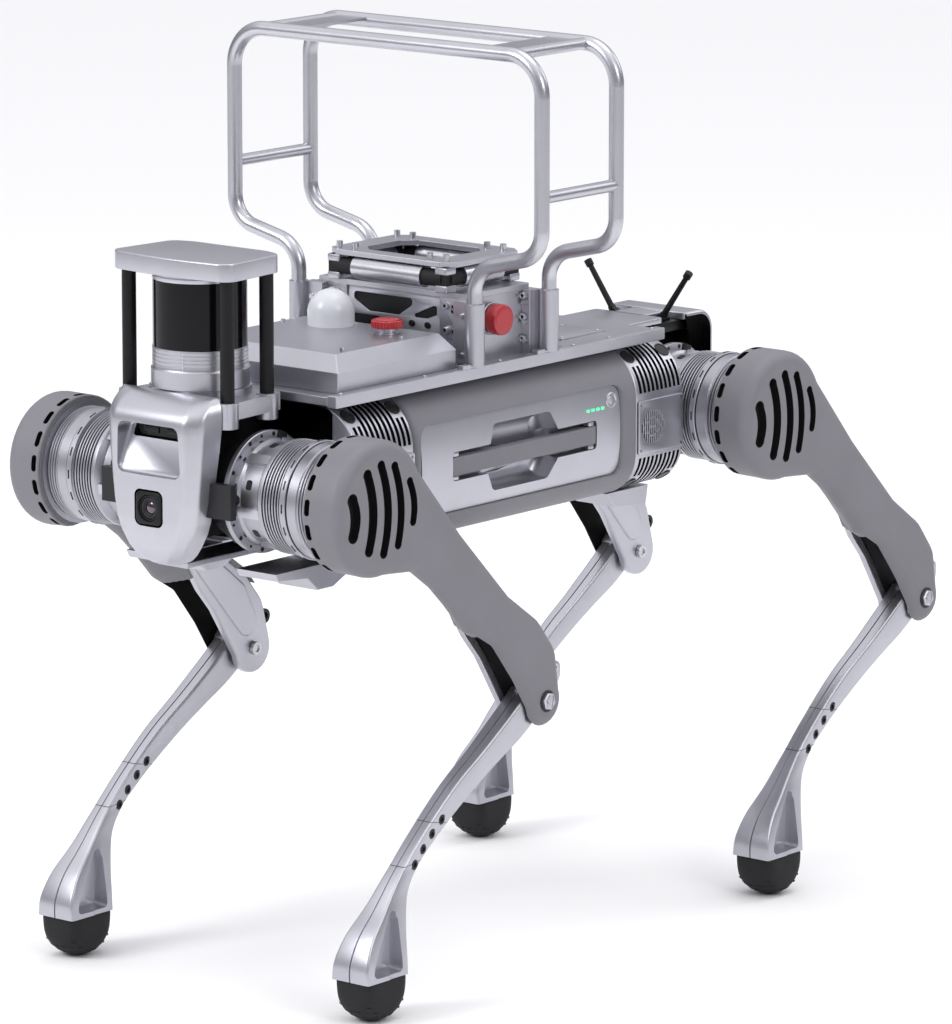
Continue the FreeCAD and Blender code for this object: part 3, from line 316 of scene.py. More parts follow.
def radial_slots(name, centre, count, radii, half, span, round_by, phase=0.0):
    """Blocks that stand on spokes about a sideways axis: radii inner and outer, half length round the rim."""
    outline = rectangle((-half, half), span, round_by, 3)
    meshes = []
    for index in range(count):
        angle = 2 * math.pi * (index + phase) / count
        out = Vector((math.cos(angle), 0, math.sin(angle)))
        round_rim = Vector((-math.sin(angle), 0, math.cos(angle)))
        corners = [point(*(Vector((centre[0], 0, centre[1])) + out * radius + round_rim * spot.x
                           + Vector((0, spot.y, 0)))) for radius in radii for spot in outline]
        number = len(outline)
        faces = [[k, (k + 1) % number, number + (k + 1) % number, number + k] for k in range(number)]
        faces += [list(range(number)), list(range(number, 2 * number))]
        meshes.append(new_mesh(name, corners, faces))
    return join(name, meshes)


def join(name, meshes):
    work = bmesh.new()
    for mesh in meshes:
        work.from_mesh(mesh)
        bpy.data.meshes.remove(mesh)
    made = bpy.data.meshes.new(name)
    work.to_mesh(made)
    work.free()
    return made


def mirrored(mesh, across=True, shift=0.0):
    """A copy of a mesh on the robot's other side, or further along x, with its faces still outward."""
    work = bmesh.new()
    work.from_mesh(mesh)
    for vert in work.verts:
        vert.co.x += shift / 1000
        if across:
            vert.co.y = -vert.co.y
    if across:
        bmesh.ops.reverse_faces(work, faces=work.faces)
    made = bpy.data.meshes.new(mesh.name)
    work.to_mesh(made)
    work.free()
    for material in mesh.materials:
        made.materials.append(material)
    return made


def carve(mesh, tools, material, inside=None, operation="DIFFERENCE"):
    """The mesh in its material, cut by the tool meshes; the cut faces take the inside material."""
    mesh.materials.append(material)
    holder = bpy.data.objects.new("carve", mesh)
    bpy.context.scene.collection.objects.link(holder)
    made = [holder]
    for number, tool in enumerate(tools):
        tool.materials.append(inside or material)
        cutter = bpy.data.objects.new(f"cutter{number}", tool)
        bpy.context.scene.collection.objects.link(cutter)
        cut = holder.modifiers.new("cut", "BOOLEAN")
        cut.operation = operation
        cut.solver = "EXACT"
        cut.material_mode = "TRANSFER"
        cut.object = cutter
        made.append(cutter)
    result = bpy.data.meshes.new_from_object(holder.evaluated_get(bpy.context.evaluated_depsgraph_get()))
    for item in made:
        data = item.data
        bpy.data.objects.remove(item)
        bpy.data.meshes.remove(data)
    return result


def tube_mesh(name, route, radius, rounds=()):
    """A round bar along a 3D route."""
    curve = bpy.data.curves.new(name, "CURVE")
    curve.dimensions = "3D"
    curve.bevel_depth = radius / 1000
    curve.bevel_resolution = 6
    curve.use_fill_caps = True
    spline = curve.splines.new("POLY")
    spline.points.add(len(route) - 1)
    for spot, corner in zip(spline.points, route):
        spot.co = (*point(*corner), 1)
    holder = bpy.data.objects.new(name, curve)
    bpy.context.scene.collection.objects.link(holder)
    mesh = bpy.data.meshes.new_from_object(holder.evaluated_get(bpy.context.evaluated_depsgraph_get()))
    bpy.data.objects.remove(holder)
    bpy.data.curves.remove(curve)
    return mesh


def screw_mesh(name, spot, axis, radius=2.6, height=2.6):
    """A socket-head screw with a chamfered rim and a deep socket."""
    inner = radius * 0.52
    rim = [(0, 0), (radius, 0), (radius, height - 0.4), (radius - 0.4, height), (inner * 1.1, height),
           (inner, height - 0.3), (inner, height - 1.6), (0, height - 1.7)]
    return lathe_mesh(name, rim, spot, axis, 20)


def finish_node(name, material, bevel=0.0, sharp=34.0):
    """A CAD node that is shown as it is, with its material and softly broken edges."""
    item = frame["nodes"][name]
    item.data.materials.clear()
    item.data.materials.append(material)
    if bevel:
        weld = item.modifiers.new("weld", "WELD")
        weld.merge_threshold = 0.00002
        edge = item.modifiers.new("edges", "BEVEL")
        edge.width = bevel / 1000
        edge.segments = 2
        edge.limit_method = "ANGLE"
        edge.angle_limit = math.radians(sharp)
        edge.use_clamp_overlap = True
        normals = item.modifiers.new("normals", "WEIGHTED_NORMAL")
        normals.keep_sharp = True


# ---------------------------------------------------------------- legs, drawn for the front left corner

HIP = Vector((HIP_HALF, HIP_Z))
KNEE = HIP - Vector((KNEE_RUN, KNEE_DROP))
CORNERS = (("fl", False, 0), ("fr", True, 0), ("rl", False, -2 * HIP_HALF), ("rr", True, -2 * HIP_HALF))


def from_hip(corners):
    return [HIP + Vector(corner) for corner in corners]


def from_knee(corners):
    return [KNEE + Vector(corner) for corner in corners]


def on_all_legs(name, mesh, material, body, replaces=(), **finish):
    """Keep one copy of a leg's mesh at each corner, on that leg's body."""
    for leg, across, shift in CORNERS:
        keep(f"{leg}_{name}", mirrored(mesh, across, shift), material, f"{leg}_{body}",
             [f"{leg}_{node}" for node in replaces], **finish)
    bpy.data.meshes.remove(mesh)


def thigh_outline(hub, knee, upper, lower):
    """Outline of the thigh: hub circle, upper edge, bulge over the knee, knee circle, lower edge."""
    tip = [Vector(corner) - Vector((KNEE_RUN, KNEE_DROP)) for corner in arc((0, 0), knee, 160, 350, 14)]
    ring = arc((0, 0), hub, 262, 514, 34)
    radii = [0] * len(ring) + [60, 26, 34, 30] + [0] * len(tip) + [16] + [18] * (len(lower) - 1)
    return from_hip(smooth_outline([Vector(c) for c in ring] + [Vector(c) for c in upper] + tip
                                   + [Vector(c) for c in lower], radii))


COVER_UPPER = ((-126.8, -43.6), (-203.5, -119.8), (-250, -152), (-277, -186))
COVER_LOWER = ((-209, -209), (-176, -168), (-142.5, -148.5), (-119.3, -123.7), (-90.6, -96.5), (-56, -72))
CHEEK_UPPER = ((-124, -48), (-200, -124), (-246, -156), (-272, -188))
CHEEK_LOWER = ((-211, -210), (-196, -187), (-175, -163), (-150, -124), (-120, -92), (-50, -36))


def ramp(number, low, high):
    share = min(max((number - low) / (high - low), 0), 1)
    return share * share * (3 - 2 * share)


def under_arm(corner):
    """One along the lower edge of the arm, nought at the hub and the knee."""
    away = corner - HIP
    along, side = -(away.x + away.y) / math.sqrt(2), (away.x - away.y) / math.sqrt(2)
    return ramp(along, 20, 85) * (1 - ramp(along, 218, 245)) if side > 0 else 0


# Slits in the outer face: middle, lower and upper end from the hip axis, width, bow and lean.
SLITS = ((43.5, -27, 23, 15.5, 4, 1), (18.5, -44, 44, 13, 7.5, 2), (-3.5, -49, 50, 11.6, 8.5, 3.5),
         (-24, -43, 46, 10.6, 7, 5), (-45.5, -23, 27, 9.6, 4, 5))


def slit_outline(x, low, high, width, bow, lean, steps=12):
    """A bowed slot with round ends; it bulges towards the rear."""
    middle, half = (low + high) / 2, (high - low - width) / 2
    spine = [Vector((x + bow * (k / steps * 2 - 1) ** 2 - bow / 2 + lean * (k / steps - 0.5),
                     middle + half * (k / steps * 2 - 1))) for k in range(steps + 1)]
    ring = [spot + Vector((width / 2, 0)) for spot in spine]
    ring += [spine[-1] + Vector(c) for c in arc((0, 0), width / 2, 18, 162, 8)]
    ring += [spot - Vector((width / 2, 0)) for spot in reversed(spine)]
    ring += [spine[0] + Vector(c) for c in arc((0, 0), width / 2, 198, 342, 8)]
    return from_hip(ring)


def thigh():
    outline = thigh_outline(68.8, 27.5, COVER_UPPER, COVER_LOWER)
    layers = [(1.2, 176.2, 19), (0, 177.4, 18), (0, 182, 15.5), (0, 189, 10.5), (0, 196, 6), (0, 203, 2)]
    layers += [(inset, along, 0) for inset, along in rounded(208, 222, 0, 12.5, 7)]
    cover = dish_mesh("cover", outline, layers, "side", under_arm)
    channel = smooth_outline(from_hip([(-268, -172), (-224, -142), (-176, -138), (-150, -158), (-176, -232),
                                       (-232, -300), (-310, -300), (-310, -214)]), 6, 3)
    tools = [dish_mesh("slit", slit_outline(*slit), [(0.6, 213), (0, 214), (0, 223)], "side") for slit in SLITS]
    tools.append(dish_mesh("channel", channel, [(0, 175), (0, 214.7)], "side"))
    tools.append(radial_slots("slots", HIP, 17, (63.5, 72), 8.4, (179, 185.4), 3, 0.3))
    # The cut faces take black. In the slits and the knee channel this black on their walls and floors is painted shade.
    on_all_legs("cover_shell", carve(cover, [join("tools", tools)], GREY, BLACK), GREY, "thigh", ["thigh_cover"])

    drum = [(0, 146.4), (56, 146.4), (58.4, 147.2), (58.4, 158.4), (57.2, 159.4)]
    for index in range(4):
        level = 160 + index * 3.4
        drum += [(57.2, level), (58, level + 0.5), (58, level + 1.6), (57.2, level + 2.1), (54.6, level + 2.2),
                 (54.6, level + 3.2)]
    drum += [(57.5, 174), (62.5, 175.2), (62.5, 176.6), (0, 176.6)]
    on_all_legs("knee_drum", lathe_mesh("drum", drum, (HIP.x, 0, HIP.y), "y", 128), MOTOR, "thigh")
    # A black core inside the knee drum fills the floors of its grooves: painted shade in the narrow grooves.
    drum_groove_shade = lathe_mesh("drum_groove_shade", [(0, 159), (56, 159), (56, 174), (0, 174)], (HIP.x, 0, HIP.y), "y", 96)
    on_all_legs("drum_groove_painted_shade", drum_groove_shade, BLACK, "thigh")

    outline = thigh_outline(58, 26.6, CHEEK_UPPER, CHEEK_LOWER)
    cheek = dish_mesh("cheek", outline, rounded(174.2, 183.4, 3.2, 0.6, 4), "side")
    boss = smooth_outline(from_hip([(-52, -8), (-118, -54), (-194, -128), (-242, -166), (-266, -214),
                                    (-243, -226), (-214, -194), (-172, -146), (-118, -84), (-54, -32)]), 14, 5)
    raised = dish_mesh("raised", boss, rounded(171.6, 178, 3.2, 0, 5), "side")
    on_all_legs("inner_cheek", join("inner_cheek", [cheek, raised]), SILVER, "thigh", ["thigh_frame"])
    liner = dish_mesh("liner", outline, [(6, 183), (6, 184.4), (6.6, 185)], "side")
    beams = [dish_mesh("beam", smooth_outline(from_hip(corners), 2, 3), rounded(184, high, 0, 1, 2), "side")
             for high, corners in ((186.2, [(-186, -163), (-182, -159), (-213, -203), (-218, -203)]),
                                   (185.8, [(-199, -157), (-195, -153), (-228, -192), (-232, -196)]))]
    on_all_legs("channel_liner", join("liner", [liner, *beams]), DARK, "thigh")

    bolts = [screw_mesh("bolt", (KNEE.x, 173.6, KNEE.y), Vector((0, -1, 0)), 7.2, 4.2)]
    bolts += [screw_mesh("bolt", (HIP.x + x, 172, HIP.y + z), Vector((0, -1, 0)), 3, 2.2)
              for x, z in ((-84, -58), (-170, -130))]
    on_all_legs("inner_bolts", join("bolts", bolts), STEEL, "thigh")

    hexagon = from_knee([(9.4 * math.cos(math.radians(60 * k + 12)), 9.4 * math.sin(math.radians(60 * k + 12)))
                         for k in range(6)])
    head = dish_mesh("head", smooth_outline(hexagon, 1.2, 3), [(0, 221), (0, 225.2), (1.1, 226.4), (2.6, 226.6)],
                     "side")
    on_all_legs("knee_bolt", head, SILVER, "thigh")
    washer = lathe_mesh("washer", [(0, 221), (11.4, 221), (11.4, 222.5), (10.8, 223), (0, 223)],
                        (KNEE.x, 0, KNEE.y), "y", 48)
    on_all_legs("knee_washer", washer, DARK, "thigh")


def resample(corners, count):
    """A smooth run through the corners at even spacing."""
    knots = [Vector(corner) for corner in corners]
    fine = []
    for k in range(len(knots) - 1):
        a = knots[max(k - 1, 0)]
        b, c = knots[k], knots[k + 1]
        d = knots[min(k + 2, len(knots) - 1)]
        for step in range(12):
            t = step / 12
            fine.append(0.5 * (2 * b + (c - a) * t + (2 * a - 5 * b + 4 * c - d) * t * t
                               + (3 * b - a - 3 * c + d) * t ** 3))
    fine.append(knots[-1])
    lengths = [0.0]
    for before, after in zip(fine, fine[1:]):
        lengths.append(lengths[-1] + (after - before).length)
    spots, at = [], 0
    for k in range(count):
        goal = lengths[-1] * k / (count - 1)
        while at < len(fine) - 2 and lengths[at + 1] < goal:
            at += 1
        share = (goal - lengths[at]) / max(lengths[at + 1] - lengths[at], 1e-9)
        spots.append(fine[at].lerp(fine[at + 1], min(max(share, 0), 1)))
    return spots


# Front and rear edge of the calf from the knee, and its half width (how far down, half width).
CALF_FRONT = ((16, 14), (40, -5), (88.3, -38.5), (133.4, -67.7), (178.7, -104.7), (215.4, -139.6), (246.4, -173.9),
              (270.1, -198), (283, -222), (284, -240.1))
CALF_REAR = ((-4, -14), (24.9, -34), (60, -53), (95, -73), (130, -95), (163, -118), (190, -140), (207, -163),
             (215.5, -199.7), (219.4, -240.1))
CALF_HALF = ((14, 13.4), (-30, 12.4), (-60, 11), (-105, 9.9), (-136, 9.9), (-165, 13), (-195, 18.2), (-221, 22.4),
             (-240.1, 24.4))


def half_width(z):
    for (high, wide), (low, wider) in zip(CALF_HALF, CALF_HALF[1:]):
        if z >= low:
            share = min(max((high - z) / (high - low), 0), 1)
            return wide + (wider - wide) * share
    return CALF_HALF[-1][1]


def calf_section(depth, half):
    """A rounded section with a seam along the front and a step along each side: (share of depth, sideways)."""
    corner = min(2.8, half * 0.35, depth * 0.2)
    seam, step = 1.7, 1.3
    right = [(depth / 2 - seam, 0.0), (depth / 2 - seam, 0.5), (depth / 2, 0.85)]
    right += [(depth / 2 - corner + a, half - corner + b) for a, b in arc((0, 0), corner, 0, 90, 5)]
    right += [(-depth * 0.02, half), (-depth * 0.06, half - step)]
    right += [(-depth / 2 + corner + a, half - step - corner + b) for a, b in arc((0, 0), corner, 90, 180, 5)]
    return right + [(a, -b) for a, b in reversed(right[1:])]


def beam_ring(front, rear, station, swell=0.0):
    """Corners of the calf's section at a fractional station between its front and rear edge."""
    low = int(station)
    ahead = front[low].lerp(front[low + 1], station - low)
    behind = rear[low].lerp(rear[low + 1], station - low)
    across, middle = ahead - behind, (ahead + behind) / 2
    ring = []
    for a, b in calf_section(across.length + 2 * swell, half_width(middle.y) + swell):
        spot = KNEE + middle + across.normalized() * a
        ring.append(point(spot.x, LEG_Y + b, spot.y))
    return ring


def calf():
    stations = 64
    front, rear = resample(CALF_FRONT, stations), resample(CALF_REAR, stations)
    corners, number = [], 0
    for ahead, behind in zip(front, rear):
        middle = (ahead + behind) / 2
        across = ahead - behind
        section = calf_section(across.length, half_width(middle.y))
        number = len(section)
        for a, b in section:
            spot = KNEE + middle + across.normalized() * a
            corners.append(point(spot.x, LEG_Y + b, spot.y))
    faces = [[level * number + k, level * number + (k + 1) % number, (level + 1) * number + (k + 1) % number,
              (level + 1) * number + k] for level in range(stations - 1) for k in range(number)]
    faces += [list(range(number)), list(range((stations - 1) * number, stations * number))]
    beam = new_mesh("beam", corners, faces)
    window = smooth_outline(from_knee([(228, -235.5), (275, -235.5), (268, -215), (244, -182), (234, -170), (227, -184)]),
                            5, 4)
    bolts = ((152, -97), (167, -109), (181, -122), (194, -135.5))
    tools = [dish_mesh("window", window, [(0, LEG_Y + sign * 30), (0, LEG_Y + sign * 12), (2.5, LEG_Y + sign * 6)],
                       "side") for sign in (1, -1)]
    for x, z in bolts:
        for sign in (1, -1):
            tools.append(lathe_mesh("bore", [(0, sign * 7.6), (5.5, sign * 7.6), (5.5, sign * 16), (0, sign * 16)],
                                    (KNEE.x + x, LEG_Y, KNEE.y + z), "y", 20))
    on_all_legs("calf_beam", carve(beam, tools, SILVER, SILVER), SILVER, "calf", ["calf"], sharp=24)

    seams = []
    for share in (0.5, 0.65):
        rings = [beam_ring(front, rear, share * (stations - 1) + step, 0.14) for step in (0, 0.12)]
        count = len(rings[0])
        walls = [[k, (k + 1) % count, count + (k + 1) % count, count + k] for k in range(count)]
        seams.append(new_mesh("seam", rings[0] + rings[1], walls + [list(range(count)),
                                                                    list(range(count, 2 * count))]))
    on_all_legs("calf_seams", join("seams", seams), DARK, "calf")
    screws = [screw_mesh("bolt", (KNEE.x + x, LEG_Y + sign * 6.6, KNEE.y + z), Vector((0, sign, 0)), 4.9, 2.9)
              for x, z in bolts for sign in (1, -1)]
    on_all_legs("calf_bolts", join("screws", screws), DARK, "calf")

    hub = lathe_mesh("hub", [(6.2, -13.2), (14, -13.2), (15, -12.2), (15, -4), (23.4, -3.4), (23.4, 11.8),
                             (22, 13.2), (6.2, 13.2), (6.2, -13.2)],
                     (KNEE.x, LEG_Y, KNEE.y), "y", 64)
    lever = smooth_outline(from_knee([(14, 20), (-8, 26), (-44, 35), (-44, 16), (-22, -12), (8, -22)]), 9, 5)
    lever_plate = dish_mesh("lever", lever, rounded(196, 204, 1.2, 1.2, 2), "side")
    on_all_legs("calf_hub", join("hub", [hub, lever_plate]), SILVER, "calf")
    pin = screw_mesh("pin", (KNEE.x - 33, 204, KNEE.y + 27), "y", 4.6, 2.2)
    on_all_legs("lever_pin", pin, STEEL, "calf")


def dome_reach(level, ball, top):
    """Radius of the foot's dome at a height above the floor."""
    return ball * math.sqrt(max(1 - (1 - min(level, top) / top) ** 2, 0))


def foot():
    """Rubber foot: a ball cut to a rounded rectangle, with a flat rim on top and short raised treads."""
    centre = (HIP.x - 6.5, LEG_Y)
    ball, top = 39.5, 44.5
    levels = [0.12, 0.8, 2, 4, 7, 11, 15, 19, 23, 27, 31, 35, 39, 42.5, 44.1, top]
    corners, around = [], 72
    for level in levels:
        reach = dome_reach(level, ball, top)
        for k in range(around):
            angle = 2 * math.pi * k / around
            c, s = math.cos(angle), math.sin(angle)
            rim = (abs(c / 32) ** 8 + abs(s / 24.4) ** 8) ** -0.125 - max(level - 43, 0) * 0.7
            radius = (reach ** -10 + rim ** -10) ** -0.1
            corners.append(point(centre[0] + radius * c, centre[1] + radius * s, level))
    faces = [[r * around + k, r * around + (k + 1) % around, (r + 1) * around + (k + 1) % around, (r + 1) * around + k]
             for r in range(len(levels) - 1) for k in range(around)]
    faces += [list(range(around)), list(range((len(levels) - 1) * around, len(levels) * around))]
    pad = new_mesh("pad", corners, faces)
    treads = []
    for level, count in ((7, 14), (12.5, 18), (18.5, 20)):
        reach, above = dome_reach(level, ball, top), dome_reach(level + 0.5, ball, top)
        for k in range(count):
            angle = 2 * math.pi * (k + (level == 12.5) * 0.5) / count
            c, s = math.cos(angle), math.sin(angle)
            if reach > 0.9 * (abs(c / 32) ** 8 + abs(s / 24.4) ** 8) ** -0.125:
                continue
            rise = Vector((c * (above - reach), s * (above - reach), 0.5)).normalized()
            flat = Vector((-s, c, 0))
            out = flat.cross(rise)
            middle = Vector((centre[0] + c * reach, centre[1] + s * reach, level)) - out * 0.4
            spots = [middle + flat * a * 2.6 + rise * b * 1.1 + out * h for h in (0, 0.5) for a, b in
                     ((-1, -0.6), (-0.7, -1), (0.7, -1), (1, -0.6), (1, 0.6), (0.7, 1), (-0.7, 1), (-1, 0.6))]
            sides = [[q, (q + 1) % 8, 8 + (q + 1) % 8, 8 + q] for q in range(8)]
            treads.append(new_mesh("tread", [point(*spot) for spot in spots],
                                   sides + [list(range(8)), list(range(8, 16))]))
    on_all_legs("foot_rubber", join("foot", [pad, *treads]), RUBBER, "calf", ["foot_pad"])


def hip():
    root = [(0, 24), (38, 24), (49, 36), (57.4, 54), (57.4, 65.9), (0, 65.9)]
    on_all_legs("hip_root", lathe_mesh("root", root, (HIP.x, 0, HIP.y), "y", 96), DARK, "hip")
    profile = [(0, 65.6), (57, 65.6), (61.2, 66), (61.8, 66.8), (61.8, 71.4),
               (61.2, 72.2), (54.5, 72.4), (54.5, 79), (51.5, 81), (51.5, 103), (55, 106), (57.6, 109), (57.8, 112)]
    for index in range(7):
        level = 112 + index * 3.7
        profile += [(57.8, level + 0.2), (57.8, level + 1.5), (57.5, level + 1.7), (53, level + 1.8), (53, level + 3.6),
                    (57.5, level + 3.65)]
    profile += [(58.2, 138.4), (60, 139), (60, 145.2), (59.4, 145.8), (0, 145.8)]
    on_all_legs("hip_motor", lathe_mesh("motor", profile, (HIP.x, 0, HIP.y), "y", 128), MOTOR, "hip", ["hip_housing"])
    # A black core inside the ribbed housing fills the floors of its grooves: painted shade in the narrow grooves.
    core = lathe_mesh("core", [(0, 113), (54.2, 113), (54.2, 137.6), (0, 137.6)], (HIP.x, 0, HIP.y), "y", 96)
    on_all_legs("hip_groove_painted_shade", core, BLACK, "hip")
    dashes = [radial_slots("dash", HIP, 16, (58, 60.25), 4.6, (141.4, 142.9), 0.5),
              radial_slots("slot", HIP, 6, (50, 51.9), 5, (87, 94), 2.4, 0.3),
              radial_slots("notch", HIP, 3, (52, 62.1), 7, (67.6, 74), 1.2, 0.93),
              radial_slots("mark", HIP, 12, (53, 54.8), 2.2, (74.6, 77.2), 1.0, 0.5)]
    on_all_legs("hip_marks", join("marks", dashes), BLACK, "hip")
    # Black discs round the flange stand for its bolt holes: painted shade in the holes, which are not cut.
    bolts = []
    for index in range(20):
        angle = 2 * math.pi * (index + 0.5) / 20
        spot = (HIP.x + 58 * math.cos(angle), 71.6, HIP.y + 58 * math.sin(angle))
        size = 2.3 if index % 2 else 1.6
        bolts.append(lathe_mesh("hole_shade_disc", [(0, 0), (size, 0), (size, 1), (0, 1)], spot, "y", 16))
    on_all_legs("hip_hole_painted_shade", join("bolts", bolts), BLACK, "hip")
    lugs = radial_slots("lugs", HIP, 6, (49, 55.6), 5.4, (80, 107), 2.0, 0.8)
    on_all_legs("hip_lugs", lugs, SILVER, "hip")


# ---------------------------------------------------------------- trunk sides

def in_frame(node_name, corner, axis):
    """One coordinate of a CAD node's box, in this script's millimetres."""
    return (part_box(node_name)[corner][axis] - (MIDDLE if axis == 0 else 0)) * 1000


COVER = [in_frame("body_cover", 0, 0), in_frame("body_cover", 1, 0)]
SIDE = in_frame("body_cover", 1, 1)
PACK = [in_frame("battery_pack", 0, 0), in_frame("battery_pack", 1, 0)]
PACK_Z = [in_frame("battery_pack", 0, 2), in_frame("battery_pack", 1, 2)]
LOW, HIGH = in_frame("body_cover", 0, 2), in_frame("body_cover", 1, 2) - 1.5
UPPER_ROUND, LOWER_ROUND = 56.0, 45.0


def barrel_outline(inset=0.0):
    return smooth_outline([(SIDE - inset, LOW + inset), (SIDE - inset, HIGH - inset), (inset - SIDE, HIGH - inset),
                           (inset - SIDE, LOW + inset)],
                          [LOWER_ROUND - inset, UPPER_ROUND - inset, UPPER_ROUND - inset, LOWER_ROUND - inset], 14)


def body_cover():
    shell = dish_mesh("shell", barrel_outline(), rounded(*COVER, 5, 7, 4), "front")
    opening = rectangle((PACK[0] - 2.4, PACK[1] + 1), (PACK_Z[0] - 0.8, PACK_Z[1] + 0.4), 12)
    flare = dish_mesh("flare", opening, [(0, SIDE - 32), (0, SIDE - 5.5), (-0.8, SIDE - 3.2), (-2.6, SIDE - 1.2),
                                         (-5.6, SIDE + 0.2), (-9, SIDE + 1)], "side")
    keep("body_shell", carve(shell, [flare], GREY, GREY), GREY, "trunk", ["body_cover"])


def battery():
    middle = (PACK_Z[0] + PACK_Z[1]) / 2
    face = dish_mesh("face", rectangle((PACK[0] - 1.6, PACK[1] + 0.4), PACK_Z, 11.4),
                     [(0, SIDE - 30), (0, SIDE + 4)], "side")
    crown = 260.0
    barrel = lathe_mesh("crown", [(0, PACK[0] - 20), (crown, PACK[0] - 20), (crown, PACK[1] + 20), (0, PACK[1] + 20)],
                        (0, SIDE - 2.6 - crown, middle), "x", 720)
    face = carve(face, [barrel], SILVER, SILVER, "INTERSECT")
    slot = rectangle((-122.5, 111.5), (middle - 15.5, middle + 14.5), 4)
    pocket = smooth_outline([(-59, middle - 15.4), (-59, middle + 14.4), (-47, middle + 34.6), (45, middle + 34.6),
                             (51, middle + 14.4), (55, middle - 15.4), (45, middle - 35), (-43, middle - 35)],
                            [2, 2, 8, 8, 2, 2, 8, 8], 6)
    tools = [dish_mesh("slot", slot, [(3, SIDE - 15), (0.8, SIDE - 14), (0, SIDE - 12), (0, SIDE + 6)], "side"),
             dish_mesh("pocket", pocket, [(14, SIDE - 27), (9, SIDE - 26.5), (4, SIDE - 23), (1.2, SIDE - 17),
                                          (0, SIDE - 10), (0, SIDE + 6)], "side")]
    face = carve(face, tools, SILVER, SILVER)
    keep("battery_face", face, SILVER, "battery", ["battery_pack"], sharp=30, bevel=0.7)
    back = box_mesh("back", PACK, (in_frame("battery_pack", 0, 1), SIDE - 30), PACK_Z, 2, "front")
    keep("battery_case", back, DARK, "battery")
    bar = box_mesh("bar", (-121.5, 110.8), (SIDE - 14, SIDE - 2.8), (middle - 10.3, middle + 8.6), 1.2, "side")
    keep("carrying_bar", bar, GREY, "battery", ["battery_handle"])
    pads = [box_mesh("pad", (x, x + 9), (SIDE - 15, SIDE - 3.6), (z, z + 4.4), 0.8, "side")
            for x in (-119, 101) for z in (middle - 14.9, middle + 9.4)]
    keep("bar_pads", join("pads", pads), SILVER, "battery")
    lights = [box_mesh("light", (-135.5 + index * 8, -131 + index * 8), (SIDE - 5, SIDE - 3.05),
                       (middle + 24.4, middle + 27.2), 0.5, "side") for index in range(4)]
    keep("charge_bars", join("lights", lights), GREEN, "battery", ["charge_lights"])
    spot = ((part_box("power_button")[0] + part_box("power_button")[1]) / 2 - Vector((MIDDLE, 0, 0))) * 1000
    base = (spot.x, SIDE - 5, spot.z)
    ring = lathe_mesh("ring", [(5.8, -1), (9, -1), (9, 0.6), (8.4, 1.3), (6.6, 1.3), (5.8, 0.4), (5.8, -1)], base, "y", 48)
    keep("button_ring", ring, BRIGHT, "battery")
    cap = lathe_mesh("cap", [(0, -2), (5.4, -2), (5.4, 0.2), (4.6, 1.0), (2.4, 1.3), (0, 1.4)], base, "y", 48)
    keep("button_cap", cap, SILVER, "power_button", ["power_button"])


def band_outline(centre, inner, outer, start, end):
    """Part of a ring, for a slot that follows the rounded edge of the trunk."""
    return arc(centre, outer, start, end, 10) + arc(centre, inner, end, start, 10)


